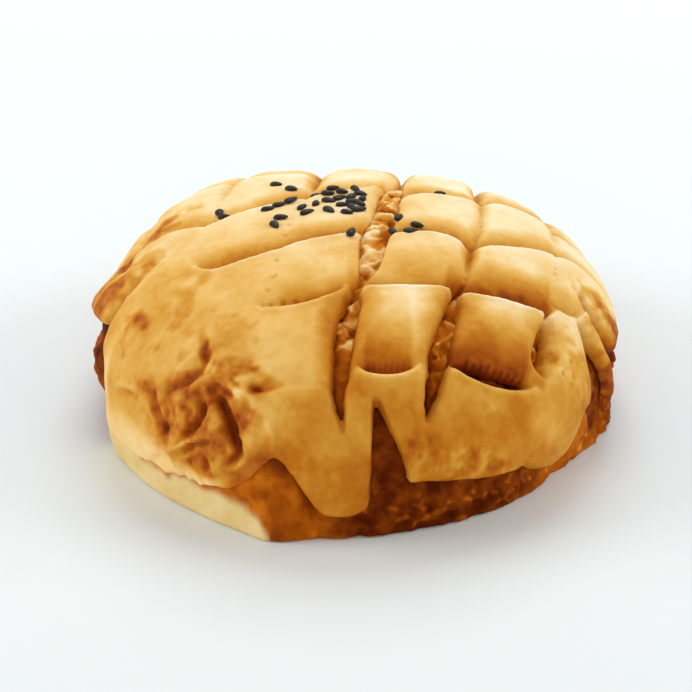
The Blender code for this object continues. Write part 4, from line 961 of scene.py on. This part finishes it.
def black_sesame():
    """Roasted black sesame: near-black hull with a dull grey gleam and a fine grain."""
    mat, tree, surface = new_material("black_sesame_hull",
                                      {"IOR": 1.47, "Specular IOR Level": 0.30})
    at = node(tree, "TexCoord", {}).outputs["Object"]
    grain = node(tree, "TexNoise", {"Scale": per_mm(0.5), "Detail": 3}, Vector=at).outputs["Fac"]
    colour = node(tree, "ValToRGB", {"stops": [(0.30, "#100B08"), (0.70, "#2C231C")]}, Fac=grain)
    finish_surface(tree, surface, colour.outputs["Color"], grain, (0.42, 0.62),
                   [(grain, 0.35, 0.08)])
    return mat


# ---- the pieces ---------------------------------------------------------------
def crust_toast_and_light(p, q, lift):
    """How brown the crust is at each point, with painted shade in the cuts, creases and hollows and a
    painted highlight on the lips, and how far it turns ruddy there.
    """
    read = reader(p, q)
    azimuth = np.arctan2(q, p)
    az_deg = np.degrees(azimuth)
    start = by_azimuth(LOW_START, azimuth)
    low = by_azimuth(LOW_TOAST, azimuth) * from_to(np.hypot(p, q), start, start + 14)
    crown = (CROWN_TOAST + SEEDED_TOAST * from_to(q, 32, 18)
             + FRONT_TOAST * from_to(q, 12, -30) * (1.0 - 0.9 * from_to(p, 3, 12))
             + LEFT_TOAST * from_to(p, -22, -46))
    toast_and_painted_light = np.maximum(crown + 0.15 * low, low)
    # golden: brown beside the scores, and on the far wall of a cross score partly painted shade
    toast_and_painted_light = np.maximum(toast_and_painted_light, read("golden"))
    flat = np.zeros(len(p))
    toast_and_painted_light = toast_and_painted_light + (CLOUD_TOAST + 0.025 * from_to(low, 0, 0.5)) * waves(p, q, flat, CLOUDS)
    patches = read("patch")
    toast_and_painted_light = np.maximum(toast_and_painted_light, patches)
    blots = waves(p, q, flat, BLOTS)
    toast_and_painted_light = toast_and_painted_light + ((0.03 + 0.12 * from_to(patches, 0.35, 0.65))
                     * (blots + waves(p, q, lift, FLECKS)))
    for name, amount in CREASE_MARKS.items():
        toast_and_painted_light = toast_and_painted_light + amount * read(name)

    # darker the deeper a point lies in a cut, and darker still in the side hollows: browned torn crust
    # with painted shade
    inside = (CUT_WALL_TOAST_AND_SHADE + 0.35 * read("hollow")) * from_to(read("top") - lift, 0.5, 2.3)
    toast_and_painted_light = np.maximum(toast_and_painted_light, inside) + 0.04 * read("cut_brown")
    crevice = from_to(read("crevice"), 0, 2)
    crevice = crevice * (1.0 - 0.5 * from_to(q, -60.5, -62.5) - 0.4 * from_to(p, -38, -41))
    toast_and_painted_light = toast_and_painted_light + (CREVICE_TOAST + 0.10 * crevice - toast_and_painted_light) * crevice ** 0.6 * (toast_and_painted_light < 0.95)
    # lip, taken off the toast, is a painted highlight on the lip below a cross score
    for name, amount in SKIN_MARKS.items():
        toast_and_painted_light = toast_and_painted_light + amount * np.clip(read(name), 0, 1)

    edge = read("edge")
    wide = 3.5 + 9.0 * from_to(az_deg, -124, -140)
    pale_hem = (from_to(az_deg, -162, -156) * from_to(az_deg, -111, -119)
                * from_to(edge, -wide, -0.25 * wide))
    toast_and_painted_light = toast_and_painted_light * (1 - pale_hem) + PALE_SIDE_TOAST * pale_hem
    frayed = from_to(az_deg, -121, -115) * from_to(az_deg, -98.5, -103.5) * from_to(edge, -9, -1.5)
    toast_and_painted_light = toast_and_painted_light * (1 - frayed) + (FRAYED_TOAST + 0.09 * blots) * frayed
    ruddy = (RUDDY * from_to(patches, 0.30, 0.55) * (1 - pale_hem) * from_to(p, 8, -8)
             * from_to(toast_and_painted_light, 0.82, 0.62))
    return toast_and_painted_light, ruddy


def make_crust():
    obj = solid_piece("cookie_crust_baked", crust_field, (-58, -58.5, 1.0), (58, 58.5, 43.5), 1.0)
    _, _, _, p, q, lift = peel(obj)
    read = reader(p, q)
    inner = lift - read("bed") - GAP < 0.25
    thin_hidden(obj, inner & (read("edge") < -3.0) & (read("cut") > 2.0), 0.9)
    toast_and_painted_light, ruddy = crust_toast_and_light(*peel(obj)[3:])
    write_mask(obj, "toast_and_painted_light", toast_and_painted_light)
    write_mask(obj, "ruddy", ruddy)
    obj.data.materials.append(baked_cookie_dough())
    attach(obj, "root")
    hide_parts("cookie_crust")


def bread_tone(x, y, z, p, q):
    """How light the bread is at each point, from the skin to the torn crumb, with painted shade in the
    cuts and hollows and painted highlights on the crumb's crests.
    """
    read = reader(p, q)
    fill, hollow, cut_tone = read("fill"), read("hollow"), read("cut_tone")
    # bumps paint the torn crumb lighter on its crests and darker in its pits: painted highlight and
    # painted shade
    bumps = torn_bumps(x, y, z)
    low = from_to(np.hypot(p, q), 62, 70)
    skin = by_azimuth(LOW_TONE, np.arctan2(q, p)) * low + cut_tone * (1 - low)
    skin = skin + 0.10 * wave(x, y, z, 3.0, 73) + 0.06 * bumps
    speck = from_to(wave(x - 0.6 * z, y + 0.6 * z, z + 0.5 * x, 1.5, 78), 0.2, 0.7)
    skin = skin + 0.20 * speck * from_to(z, 12, 6) * (p > 0)
    crumb = np.interp(-q, *zip(*CRUMB_TONE))
    crumb = crumb + (0.22 + 0.12 * from_to(q, -14, -2)) * bumps + 0.06 * (p > 10)
    blotch = from_to(wave(x + 0.6 * z, y - 0.6 * z, z, 1.7, 77), 0.1, 0.5)
    crumb = crumb + 0.30 * blotch * from_to(q, -24, -29) * from_to(q, -43, -38)
    filled = from_to(fill, 0.3, 1.5)
    tone = skin * (1 - filled) + crumb * filled
    # the left wall of a cut darkened: painted shade
    tone = tone - 0.14 * read("shaded_left_wall") * from_to(q, -18, -24) * from_to(fill, 0, 0.3)
    # dark bread in the side hollows: painted shade
    return tone * (1 - hollow) + hollow * (cut_tone + 0.14 * bumps)


def make_bread():
    obj = solid_piece("bread_bun", bread_field, (-59, -59, 0.0), (59, 59, 41.0), -1.0)
    _, _, z, p, q, _ = peel(obj)
    read = reader(p, q)
    under_crust = (read("edge") < -2.5) & (read("cut") > 2.5)
    thin_hidden(obj, under_crust | (z < 0.02), 0.93)
    x, y, z, p, q, _ = peel(obj)
    write_mask(obj, "tone", bread_tone(x, y, z, p, q))
    write_mask(obj, "pale", reader(p, q)("pale"))
    obj.data.materials.append(browned_bread())
    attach(obj, "root")
    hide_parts("bread")


def seed_place(p, q, heading):
    """Middle of a seed that lies on the crust, then ahead, across and up from it."""
    turn = math.radians(heading)
    ends = np.array([-1.0, 0.0, 1.0])
    crust = reader(p + ends * math.cos(turn), q + ends * math.sin(turn))("top")
    top = float(crust.max()) - 0.1
    spot = on_dome(p, q, top + 0.22 * SEED_HIGH)
    above = on_dome(p, q, top + 2.0)
    up = (above - spot) / np.linalg.norm(above - spot)
    ahead = np.array([math.cos(turn), math.sin(turn), 0.0])
    ahead = ahead - up * float(np.dot(ahead, up))
    ahead = ahead / np.linalg.norm(ahead)
    return spot, ahead, np.cross(up, ahead), up


def make_seeds():
    """One joined piece of teardrop seeds, each lying flat on the crust."""
    points, faces = [], []
    for number, (p, q, heading) in enumerate(SEEDS):
        spot, ahead, across, up = seed_place(p, q, heading)
        grow = 1.0 + 0.10 * math.sin(number * 2.4)
        ahead = ahead * grow * SEED_LONG / 2
        first = len(points)
        for i in range(SEED_RINGS):
            share = -math.cos(math.pi * (i + 0.5) / SEED_RINGS)
            fat = math.sqrt(1 - share * share) * (1.0 + SEED_TAPER * share)
            for k in range(SEED_SIDES):
                angle = 2 * math.pi * k / SEED_SIDES
                points.append(spot - ahead * share
                              + across * math.cos(angle) * fat * grow * SEED_WIDE / 2
                              + up * math.sin(angle) * fat * SEED_HIGH / 2)
        tip = len(points)
        points += [spot + ahead, spot - ahead]
        last = tip - SEED_SIDES
        for k in range(SEED_SIDES):
            n = (k + 1) % SEED_SIDES
            faces += [(a + k, a + SEED_SIDES + k, a + SEED_SIDES + n, a + n)
                      for a in range(first, last, SEED_SIDES)]
            faces += [(tip, first + k, first + n), (tip + 1, last + n, last + k)]
    obj = mesh_piece("sesame_seeds", np.array(points), faces)
    obj.data.materials.append(black_sesame())
    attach(obj, "root")
    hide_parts("cookie_crust")


make_bread()
make_crust()
make_seeds()


# ---- floor, light and camera ---------------------------------------------------
def make_floor():
    size = 3000.0
    corners = np.array([(-size, -size, 0), (size, -size, 0), (size, size, 0), (-size, size, 0)])
    obj = mesh_piece("floor", corners, [(0, 1, 2, 3)])
    obj.data.materials.append(new_material("pale_studio_board", {
        "Base Color": srgb("#E5EAEB"), "Roughness": 0.75, "Specular IOR Level": 0.3})[0])


def soft_light(name, spot, aim_high, size, power, colour):
    """A round soft light that looks at the bun at this height, all in metres."""
    data = bpy.data.lights.new(name, "AREA")
    data.shape = "DISK"
    data.size = size
    data.energy = power
    data.color = srgb(colour)[:3]
    lamp = bpy.data.objects.new(name, data)
    lamp.location = spot
    lamp.rotation_mode = "QUATERNION"
    lamp.rotation_quaternion = (Vector((0, 0, aim_high)) - Vector(spot)).to_track_quat("-Z", "Y")
    bpy.context.scene.collection.objects.link(lamp)


make_floor()
soft_light("window_key", (0.06, 0.60, 0.70), 0.02, 0.6, 4.6, "#ECF5FF")
soft_light("front_fill", (-0.10, -1.00, 0.11), 0.02, 0.9, 4.0, "#FFF4E4")
soft_light("left_board", (-0.85, 0.05, 0.45), 0.0, 0.5, 3.7, "#FFFFFF")
soft_light("right_board", (0.85, 0.05, 0.45), 0.0, 0.5, 3.2, "#FFFFFF")
world = bpy.data.worlds.new("studio")
bpy.context.scene.world = world
world.use_nodes = True
room = world.node_tree.nodes["Background"]
room.inputs["Color"].default_value = srgb("#F8F5EE")
room.inputs["Strength"].default_value = 0.50
bpy.context.scene.view_settings.view_transform = "Standard"

# The lens and distance give the photograph's size of the bun in its own frame.
ELEVATION = math.radians(30.0)
DISTANCE = 500.0
AIM = Vector((-1.79, -1.63, 12.18))
SENSOR = 36.0
PHOTO_PIXELS = 692.0   # breadth of the photograph
FOCAL_PIXELS = 2350.0  # focal length in those pixels
camera_data = bpy.data.cameras.new("camera")
camera_data.sensor_width = SENSOR
camera_data.lens = SENSOR * FOCAL_PIXELS / PHOTO_PIXELS
camera_data.clip_start = 0.01
camera = bpy.data.objects.new("camera", camera_data)
back = Vector((0.0, -math.cos(ELEVATION), math.sin(ELEVATION)))
camera.location = (AIM + back * DISTANCE) * MM
camera.rotation_mode = "QUATERNION"
camera.rotation_quaternion = (-back).to_track_quat("-Z", "Y")
bpy.context.scene.collection.objects.link(camera)
bpy.context.scene.camera = camera
